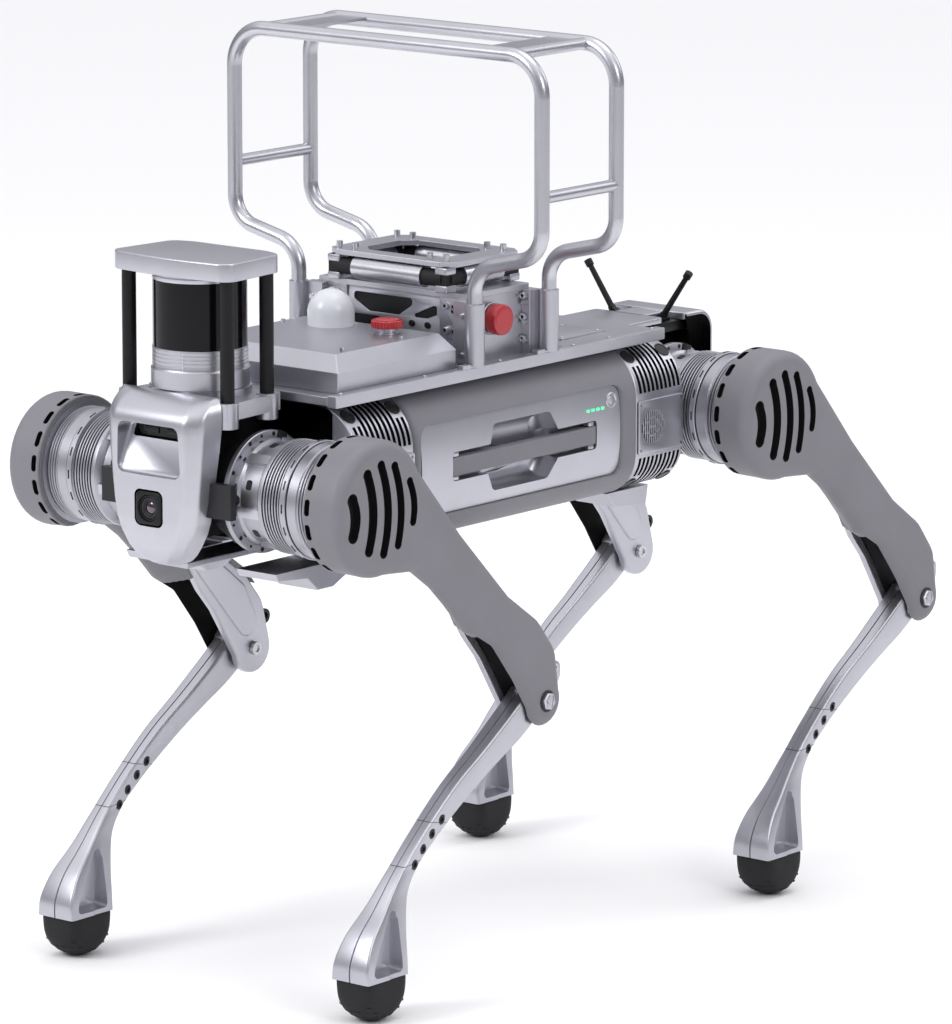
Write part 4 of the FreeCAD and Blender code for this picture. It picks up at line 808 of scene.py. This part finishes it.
def heat_sinks():
    slabs = []
    for name, start, end, count in (("front", COVER[1] + 0.4, in_frame("heat_sinks", 1, 0), 11),
                                    ("rear", in_frame("heat_sinks", 0, 0), COVER[0] - 0.4, 10)):
        block = dish_mesh(name, barrel_outline(2.5), rounded(start, end, 2.5, 2.5, 3), "front")
        pitch = (end - start - 8) / count
        upper, lower = (SIDE - UPPER_ROUND, HIGH - UPPER_ROUND), (SIDE - LOWER_ROUND, LOW + LOWER_ROUND)
        tools = []
        for index in range(count):
            x = start + 5 + index * pitch
            near = index in (0, 1, count - 2, count - 1)
            for centre, radius, a, b in ((upper, UPPER_ROUND, 6, 38 if near else 84),
                                         (lower, LOWER_ROUND, -8, -38 if near else -80)):
                ring = band_outline(centre, radius - 14, radius + 6, a, b)
                slot = dish_mesh("slot", ring, [(0, x), (0, x + pitch * 0.6)], "front")
                tools += [slot, mirrored(slot)]
        tools = [join("slots", tools)]
        # The slots' walls and floors take black: painted shade in the deep slots.
        slabs.append(carve(block, tools, SILVER, BLACK))
        studs = []
        for centre, radius, angle in ((upper, UPPER_ROUND - 2.5, 52), (lower, LOWER_ROUND - 2.5, -55)):
            for x in (start + 10.5, end - 10.5):
                out = Vector((0, math.cos(math.radians(angle)), math.sin(math.radians(angle))))
                base = Vector((x, centre[0], centre[1])) + out * (radius - 1)
                studs.append(lathe_mesh("stud", [(0, 1.15), (6.4, 1.15), (7, 1.7), (8.6, 1.5), (9, 0.4)], base, out, 28))
        rings = join("studs", studs)
        keep(f"sink_studs_{name}", join("both", [mirrored(rings), rings]), DARK, "trunk")

        plate_x = (start + 2, end - 1.5)
        middle = (plate_x[0] + plate_x[1]) / 2 + (14 if name == "rear" else -14)
        holes = []
        for column in range(-5, 6):
            reach = math.sqrt(max(18.5 ** 2 - (column * 3.5) ** 2, 0))
            count_down = max(int(reach * 2 / 9), 1)
            step = reach * 2 / count_down
            for row in range(count_down):
                low = -reach + row * step + 0.7
                ring = rectangle((column * 3.5 - 1, column * 3.5 + 1), (low, low + step - 1.6), 0.9, 3)
                holes.append([Vector((middle, 517)) + spot for spot in ring])
        plate = slab_mesh("plate", rectangle(plate_x, (489.5, 546), 2.5, 4), (SIDE - 2.4, SIDE), "side", holes, 0.5, 2)
        backing = box_mesh("backing", (plate_x[0] + 2, plate_x[1] - 2), (SIDE - 3.1, SIDE - 2.3), (492, 544), 0.2, "side")
        screws = [screw_mesh("screw", (x, SIDE - 0.6, z), "y", 1.5, 0.9) for x in (plate_x[0] + 4, plate_x[1] - 4)
                  for z in (493.5, 542)]
        keep(f"fan_plates_{name}", join("plates", [mirrored(plate), plate]), SILVER, "trunk")
        keep(f"fan_backing_{name}", join("backing", [mirrored(backing), backing]), BLACK, "trunk")
        screws = join("screws", screws)
        keep(f"fan_screws_{name}", join("both", [mirrored(screws), screws]), DARK, "trunk")
    for number, mesh in enumerate(slabs):
        keep(f"sink_{number}", mesh, SILVER, "trunk", ["heat_sinks"] if number else ())


thigh()
calf()
foot()
hip()
body_cover()
battery()
heat_sinks()


# ---------------------------------------------------------------- head, mast and tower

# Levels of the head: height, front face x and half width, rear half width.
HEAD = ((452, 409, 15, 21), (456, 414, 22.5, 28), (462, 419, 29, 34.5), (470, 422.5, 34.5, 40), (484, 424.4, 42.5, 48),
        (498, 425, 48, 53), (516, 425, 51.5, 56.5), (535, 425, 53.5, 59), (548, 425, 54.4, 61), (572, 425.6, 54.8, 65),
        (590, 425.8, 54.4, 67.4), (600, 425, 54, 68), (606, 422.4, 53.4, 68), (612, 417, 52.4, 67.6),
        (617, 410.5, 51, 66.6), (621, 404, 49, 65), (623.4, 399, 46.5, 62.5), (624, 396.6, 44, 60))
HEAD_REAR = 392.0


def bend(before, corner, after, reach, steps=6):
    """A fixed number of points that round one corner."""
    corner = Vector(corner)
    start = corner + (Vector(before) - corner).normalized() * reach
    end = corner + (Vector(after) - corner).normalized() * reach
    return [start.lerp(corner, k / steps).lerp(corner.lerp(end, k / steps), k / steps) for k in range(steps + 1)]


def head():
    rings = []
    for lower, upper in zip(HEAD, HEAD[1:]):
        number = max(1, round((upper[0] - lower[0]) / 4))
        rings += [[a + (b - a) * k / number for a, b in zip(lower, upper)] for k in range(number)]
    rings.append(list(HEAD[-1]))
    corners, count = [], 0
    for z, face, half, behind in rings:
        reach = min(5.5, half * 0.3)
        side = face - (face - HEAD_REAR) * 0.32
        path = [(HEAD_REAR, 0), (HEAD_REAR, behind), (side, half + (behind - half) * 0.45 + 1.5), (face, half - 6),
                (face + 0.9, 0)]
        ring = [Vector(path[1])]
        ring += bend(path[1], path[2], path[3], reach * 0.7) + bend(path[2], path[3], path[4], reach * 0.8)
        ring += [Vector(path[4])]
        ring += [Vector((spot.x, -spot.y)) for spot in reversed(ring[:-1])]
        count = len(ring)
        corners += [point(spot.x, spot.y, z) for spot in ring]
    levels = len(rings)
    faces = [[level * count + k, level * count + (k + 1) % count, (level + 1) * count + (k + 1) % count,
              (level + 1) * count + k] for level in range(levels - 1) for k in range(count)]
    faces += [list(range(count)), list(range((levels - 1) * count, levels * count))]
    shell = new_mesh("shell", corners, faces)
    brow = smooth_outline([(-42, 543), (42, 543), (39.6, 595), (-39.6, 595)], 8.5, 7)
    recess = dish_mesh("recess", brow, [(2.4, 403.5), (0.7, 405), (0, 408), (0, 432), (-5, 436)], "front")
    for spot in recess.vertices:
        height, depth = spot.co.z * 1000, (spot.co.x - MIDDLE) * 1000
        if depth < 409:
            spot.co.x += max(595 - height, 0) / 52 * 18.5 / 1000
    strip = dish_mesh("strip", smooth_outline([(-34, 578), (34, 578), (33, 592.5), (-33, 592.5)], 3, 4),
                      [(0, 396), (0, 418)], "front")
    camera = dish_mesh("socket", rectangle((-18.2, 18.2), (492.3, 528.3), 7), [(0, 414), (0, 424), (-1.4, 427.5)],
                       "front")
    shell = carve(shell, [recess], SILVER, SILVER)
    shell = carve(shell, [join("rooms", [strip, camera])], SILVER, BLACK)
    keep("head_skin", shell, SILVER, "trunk", ["head_shell"], sharp=40)

    frame_of_lens = dish_mesh("lens_frame", rectangle((-17, 17), (493.5, 527.1), 6), rounded(416, 426.4, 0, 1.6, 3),
                              "front")
    well = lathe_mesh("well", [(0, 420), (11.5, 420), (13.2, 424.4), (13.8, 427.4), (0, 427.4)], (0, 0, 510.3), "x", 64)
    keep("camera_frame", carve(frame_of_lens, [well], BLACK, BLACK), BLACK, "trunk", ["head_camera"])
    barrel = lathe_mesh("barrel", [(6.6, 419), (11.2, 419), (11.2, 423.6), (10.4, 424.4), (8.6, 424.4), (7.6, 423),
                                   (6.6, 422.6), (6.6, 419)], (0, 0, 510.3), "x", 64)
    keep("lens_barrel", barrel, DARK, "trunk")
    rim = lathe_mesh("rim", [(11.6, 423.5), (12.5, 423.5), (12.5, 424.7), (11.6, 424.7), (11.6, 423.5)],
                     (0, 0, 510.3), "x", 64)
    keep("lens_rim", rim, DARK, "trunk")
    dome = [(0, 419)] + [(6.6 * math.cos(math.radians(a)), 421.4 + 2.6 * math.sin(math.radians(a)))
                         for a in range(0, 90, 10)] + [(0, 424)]
    keep("lens_glass", lathe_mesh("glass", dome, (0, 0, 510.3), "x", 48), LENS, "trunk")
    window = dish_mesh("window", smooth_outline([(-33, 578.6), (33, 578.6), (32.2, 592), (-32.2, 592)], 3, 4),
                       [(0, 397), (0, 403.6), (0.4, 404)], "front")
    keep("sensor_window", window, GLASS, "trunk")
    bars = [box_mesh("bar", (403.6, 405.4), (low, high), (582.2, 588.4), 0.6, "front")
            for low, high in ((-24, -4), (6, 25))]
    keep("sensor_bars", join("bars", bars), DARK, "trunk")


def mast():
    spot = (in_frame("lidar_window", 0, 0) + in_frame("lidar_window", 1, 0)) / 2
    base = [(0, 625), (48.8, 625), (49.4, 625.6), (49.4, 643), (48.4, 644)]
    for index in range(5):
        level = 645.2 + index * 3.9
        base += [(47.9, level), (47.9, level + 2.7), (47.3, level + 2.9), (47.3, level + 3.6)]
    base += [(47.9, 664.6), (47.4, 665), (0, 665)]
    cap = [(0, 732.6), (47.2, 732.6), (47.4, 733), (47.4, 736.4), (46.5, 737), (46.5, 739.8), (0, 739.8)]
    body = [lathe_mesh("base", base, (spot, 0, 0), "z", 128), lathe_mesh("cap", cap, (spot, 0, 0), "z", 128)]
    keep("mast_rings", join("mast", body), SILVER, "trunk", ["lidar_body"])
    glass = lathe_mesh("glass", [(0, 665), (47.2, 665), (47.2, 732.6), (0, 732.6)], (spot, 0, 0), "z", 160)
    keep("mast_glass", glass, GLASS, "trunk", ["lidar_window"])
    ticks = [box_mesh("tick", (spot + 43.2, spot + 45.3), (16.4, 17.4), (644 + k * 3.4, 646 + k * 3.4), 0.2)
             for k in range(6)]
    keep("mast_mark", join("ticks", ticks), WHITE, "trunk")
    corners = [(300, -50), (308, -72), (386, -79), (395, -68), (402, 0), (395, 68), (386, 79), (308, 72), (300, 50)]
    plate = smooth_outline(corners, [40, 14, 10, 12, 300, 12, 10, 14, 40], 9)
    keep("guard_plate", dish_mesh("plate", plate, rounded(739.8, 758, 0.8, 1.6, 5), "plan"), SILVER, "trunk",
         ["lidar_guard"], sharp=40)
    rods = []
    for x, y in ((380, 65), (313, 58)):
        rods += [lathe_mesh("rod", [(0, 617.8), (7.2, 617.8), (7.2, 739.8), (0, 739.8)], (x, side * y, 0), "z", 40)
                 for side in (1, -1)]
    keep("mast_rods", join("rods", rods), BLACK, "trunk", ["lidar_pillars"])


def screw_set(name, spots, axis, radius, height, body="trunk"):
    """Socket screws at both mirrored spots, with a black disc down in each socket as painted shade."""
    both = [spot for x, y, z in spots for spot in ((x, y, z), (x, -y, z))]
    keep(name, join("heads", [screw_mesh("head", spot, axis, radius, height) for spot in both]), STEEL, body)
    socket_shade_profile = [(0, height - 1.75), (radius * 0.5, height - 1.75), (radius * 0.5, height - 0.9), (0, height - 0.9)]
    keep(f"{name}_sockets", join("socket_shade", [lathe_mesh("socket", socket_shade_profile, spot, axis, 12) for spot in both]), BLACK,
         body)


def tower():
    front = in_frame("tower_plates", 1, 0) - 5
    window = smooth_outline([(-54, 675), (-54, 667), (-34, 656), (6, 656), (24, 668), (24, 675)], 4, 4)
    corner_cut = smooth_outline([(19, 655.5), (52, 670), (57, 670), (57, 661), (44, 656)], 2, 3)
    lower = smooth_outline([(-57, 652), (-57, 640), (-26, 640), (-14, 652)], 3, 3)
    skin = slab_mesh("skin", rectangle((-92, 92), (617.5, 680.5), 2, 3), (front, front + 1.6), "front",
                     [window, corner_cut, lower], 0.3, 2)
    keep("tower_skin", skin, SILVER, "trunk")
    # A black sheet just behind the skin fills its windows: painted shade in the openings.
    shade = [box_mesh("shade", (front + 0.05, front + 0.4), (-58, 58), (638, 677), 0.1, "front")]
    shade.append(dish_mesh("slot", rectangle((66.8, 70.2), (656, 666), 1.6, 4), [(0, front + 1), (0, front + 1.8)],
                           "front"))
    shade += [lathe_mesh("plug", [(0, front + 1), (3.4, front + 1), (3.4, front + 3.4), (2.8, front + 4),
                                  (0, front + 4)], (0, y, 649.5), "x", 24) for y in (24, 45)]
    keep("tower_shade", join("shade", shade), BLACK, "trunk")
    ears = [box_mesh("ear", (front + 1.6, front + 4), (sign * 77 - 15, sign * 77 + 15), (638, 681), 1.2, "front")
            for sign in (1, -1)]
    keep("tower_ears", join("ears", ears), SILVER, "trunk")
    screw_set("ear_screws", [(front + 4, y, z) for y in (71.5, 82.5) for z in (647.5, 673)], "x", 3.5, 3.4)
    rear = in_frame("tower_plates", 0, 0) + 5 + 4.5
    screw_set("wing_screws", [(rear, 100.5, z) for z in (630, 653, 675)], "x", 3.7, 4.2)

    clamps = []
    for x in (52, -51):
        for sign in (1, -1):
            y = (sign * 72 - 8, sign * 72 + 8)
            clamps.append(box_mesh("clamp", (x - 8, x + 8), y, (705.5, 713), 1.4))
            clamps.append(box_mesh("clamp", (x - 8, x + 8), y, (687, 694.5), 1.4))
    keep("isolator_clamps", join("clamps", clamps), SILVER, "trunk")

    stop = ((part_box("estop_button")[0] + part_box("estop_button")[1]) / 2 - Vector((MIDDLE, 0, 0))) * 1000
    low, high = in_frame("estop_button", 0, 1), in_frame("estop_button", 1, 1)
    cap = [(0, low), (6.5, low), (6.5, high - 17), (13.4, high - 16.4), (15.4, high - 14), (16, high - 11.5),
           (16, high - 3.2), (15.4, high - 1.2), (13.8, high - 0.2), (11, high), (0, high - 0.5)]
    keep("stop_cap", lathe_mesh("cap", cap, (stop.x, 0, stop.z), "y", 72), RED, "estop_button", ["estop_button"])
    ring = [(7, low), (15.5, low), (17, low + 0.6), (17, low + 1.6), (16.2, low + 2.3), (12, low + 2.6), (7, low + 2.6),
            (7, low)]
    keep("stop_collar", lathe_mesh("collar", ring, (stop.x, 6, stop.z), "y", 64), MOTOR, "trunk")

    knob = ((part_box("top_knob")[0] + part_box("top_knob")[1]) / 2 - Vector((MIDDLE, 0, 0))) * 1000
    top = in_frame("top_knob", 1, 2)
    ribs = [Vector((knob.x, knob.y)) + Vector((math.cos(math.radians(a)), math.sin(math.radians(a))))
            * (15.7 + 0.55 * math.cos(math.radians(a * 30))) for a in range(0, 360, 2)]
    grip = dish_mesh("grip", ribs, rounded(top - 9, top - 0.8, 1, 1.6, 3), "plan")
    crown = lathe_mesh("crown", [(0, top - 3), (12.6, top - 3), (12.6, top - 0.4), (11.6, top), (0, top)],
                       (knob.x, knob.y, 0), "z", 48)
    keep("knob_grip", join("knob", [grip, crown]), RED, "top_knob", ["top_knob"])
    stem = [(0, top - 18), (5, top - 18), (5, top - 15.2), (11.4, top - 15.2), (11.4, top - 13.6), (10.4, top - 13),
            (10.4, top - 11.4), (11.4, top - 10.8), (11.4, top - 9), (0, top - 9)]
    keep("knob_stem", lathe_mesh("stem", stem, (knob.x, knob.y, 0), "z", 56), BRIGHT, "top_knob")


def tail():
    """Hooded tail block: a rounded silver hood over a black block, with the hinge cheeks of both antennas."""
    back, top = in_frame("tail_cover", 0, 0), in_frame("tail_cover", 1, 2)
    hood = smooth_outline([(-374, top), (back, top), (back, 545), (back + 21, 509.5), (back + 29, 513),
                           (back + 8, 549), (back + 8, top - 8), (-374, top - 8)], [1, 24, 16, 2, 2, 12, 16, 1], 8)
    sheet = smooth_outline([(-344, -46), (-251, -46), (-251, 46), (-344, 46)], 5, 5)
    tongue = rectangle((-376, -340), (-21, 21), 3, 4)
    pieces = [dish_mesh("hood", hood, rounded(-51, 51, 3.5, 3.5, 4), "side"),
              dish_mesh("sheet", sheet, rounded(600.5, 606.5, 0.6, 1, 3), "plan"),
              dish_mesh("tongue", tongue, rounded(600.5, 606.5, 0.6, 1, 3), "plan")]
    keep("tail_hood", join("tail", pieces), SILVER, "trunk", ["tail_cover"])
    # The block is narrow between the rear hips, so that their motors pass it as the legs swing outward.
    waist = smooth_outline([(-262, 594), (-262, 530), (-393, 518), (-393, 594)], 5, 4)
    end = smooth_outline([(-392.5, 599.5), (-392.5, 516), (-399, 516), (-414, 548), (-414, 599.5)], 5, 4)
    dark = [dish_mesh("waist", waist, rounded(-22, 22, 2, 2, 3), "side"),
            dish_mesh("end", end, rounded(-44, 44, 3, 3, 3), "side"),
            box_mesh("shelf", (-396, -262), (-44, 44), (588.5, 600), 2)]
    for sign in (1, -1):
        y = (sign * 32 - 6, sign * 32 + 6)
        dark += [box_mesh("cheek", (-367, -363.4), y, (588, 603.5), 1.4), box_mesh("cheek", (-353.3, -349.7), y,
                                                                                  (588, 603.5), 1.4)]
        dark.append(lathe_mesh("pin", [(0, -367.6), (2.4, -367.6), (2.4, -349.2), (0, -349.2)],
                               (0, sign * 32.1, 597), "x", 20))
    dark += [box_mesh("socket", (-410, -397), (42, 46.5), (z, z + 12), 2, "side") for z in (544, 562)]
    keep("tail_block", join("dark", dark), BLACK, "trunk")


def deck():
    top = in_frame("deck_plate", 1, 2)
    seams = [box_mesh("seam", (-244, 80), (sign * 107 - 0.7, sign * 107 + 0.7), (top - 0.2, top + 0.25), 0.1)
             for sign in (1, -1)]
    seams += [box_mesh("seam", (x, x + 1.2), (-106, 106), (top - 0.2, top + 0.25), 0.1) for x in (-96, 70)]
    keep("deck_seams", join("seams", seams), BLACK, "trunk")
    lids = [box_mesh("lid", (-196, -124), (sign * 54 - 30, sign * 54 + 30), (top - 0.2, top + 1.6), 0.7)
            for sign in (1, -1)]
    keep("deck_lids", join("lids", lids), SILVER, "trunk")
    screw_set("deck_screws", [(x, y, top + 1.5) for x in (-190, -130) for y in (30, 78)], "z", 2.2, 1.2)
    screw_set("rail_screws", [(x, 117.5, top + 1.9) for x in (-232, -160, -100, 20, 140, 270)], "z", 2.4, 1.2)


head()
mast()
tower()
tail()
deck()

# ---------------------------------------------------------------- plain CAD nodes

for node_name, node_material, node_bevel in (
        ("trunk_frame", DARK, 0), ("deck_plate", SILVER, 0.6), ("deck_rails", SILVER, 0.8),
        ("equipment_box", SILVER, 0.8), ("antenna_dome", WHITE, 0), 
        ("tower_plates", SILVER, 0.5), ("tower_screws", STEEL, 0),
        ("isolator_tubes", BRIGHT, 0), ("isolator_rubbers", RUBBER, 0), ("isolator_frame", SILVER, 0.6),
        ("post_sleeves", SILVER, 0.5), ("cage_frame", TUBE, 0), ("sensor_platform", SILVER, 1.0),
        ("antenna_left", BLACK, 0), ("antenna_right", BLACK, 0),
        ("belly_skids", SILVER, 1.0)):
    finish_node(node_name, node_material, node_bevel)
for leg in ("fl", "fr", "rl", "rr"):
    finish_node(f"{leg}_knee_crank", STEEL)
    finish_node(f"{leg}_knee_rod", DARK)


# ---------------------------------------------------------------- studio

def studio():
    floor = bpy.data.objects.new("floor", new_mesh("floor", [(-9, -9, 0), (9, -9, 0), (9, 9, 0), (-9, 9, 0)],
                                                   [(0, 1, 2, 3)]))
    bpy.context.scene.collection.objects.link(floor)
    paper = bpy.data.materials.new("paper")
    paper.use_nodes = True
    tree, shader, wire = links(paper)
    grain = add(tree, "ShaderNodeTexNoise", Scale=3.0, Detail=3.0)
    tone = add(tree, "ShaderNodeMapRange", To_Min=0.925, To_Max=0.955)
    wire.new(grain.outputs["Fac"], tone.inputs["Value"])
    wire.new(tone.outputs["Result"], shader.inputs["Base Color"])
    shader.inputs["Roughness"].default_value = 0.9
    shader.inputs["Specular IOR Level"].default_value = 0.1
    floor.data.materials.append(paper)

    world = bpy.data.worlds.new("studio")
    bpy.context.scene.world = world
    world.use_nodes = True
    tree = world.node_tree
    sky = tree.nodes["Background"]
    # A pale room: brighter towards the ceiling, dimmer lower down.
    place = tree.nodes.new("ShaderNodeTexCoord")
    split = tree.nodes.new("ShaderNodeSeparateXYZ")
    tree.links.new(place.outputs["Generated"], split.inputs[0])
    shades = tree.nodes.new("ShaderNodeValToRGB")
    shades.color_ramp.elements[0].position = 0.03
    shades.color_ramp.elements[0].color = (0.16, 0.16, 0.18, 1)
    shades.color_ramp.elements[1].position = 0.82
    shades.color_ramp.elements[1].color = (1.0, 1.0, 1.02, 1)
    middle = shades.color_ramp.elements.new(0.45)
    middle.color = (0.42, 0.42, 0.45, 1)
    tree.links.new(split.outputs["Z"], shades.inputs[0])
    tree.links.new(shades.outputs[0], sky.inputs["Color"])
    sky.inputs["Strength"].default_value = 1.32

    target = point(0, 0, 480)
    for name, spot, size, power in (("key", (3.4, -1.4, 2.4), 1.8, 78), ("side", (0.6, 3.4, 1.9), 1.4, 26),
                                    ("top", (-0.6, 0.4, 3.4), 2.0, 22), ("rear", (-3.2, 1.2, 1.8), 1.6, 14)):
        light = bpy.data.lights.new(name, "AREA")
        light.shape = "DISK"
        light.size = size
        light.energy = power
        lamp = bpy.data.objects.new(name, light)
        lamp.location = target + Vector(spot)
        lamp.rotation_euler = (target - lamp.location).to_track_quat("-Z", "Y").to_euler()
        bpy.context.scene.collection.objects.link(lamp)

    lens = bpy.data.cameras.new("camera")
    lens.lens = 239.6
    lens.sensor_width = 36
    lens.shift_x = 0.00714
    lens.shift_y = -0.00559
    lens.clip_end = 60
    camera = bpy.data.objects.new("camera", lens)
    camera.location = point(5329.7, 4456.6, 1822.3)
    camera.rotation_euler = (math.radians(78.806), 0, math.radians(129.521))
    bpy.context.scene.collection.objects.link(camera)
    bpy.context.scene.camera = camera
    bpy.context.scene.view_settings.view_transform = "Standard"


studio()
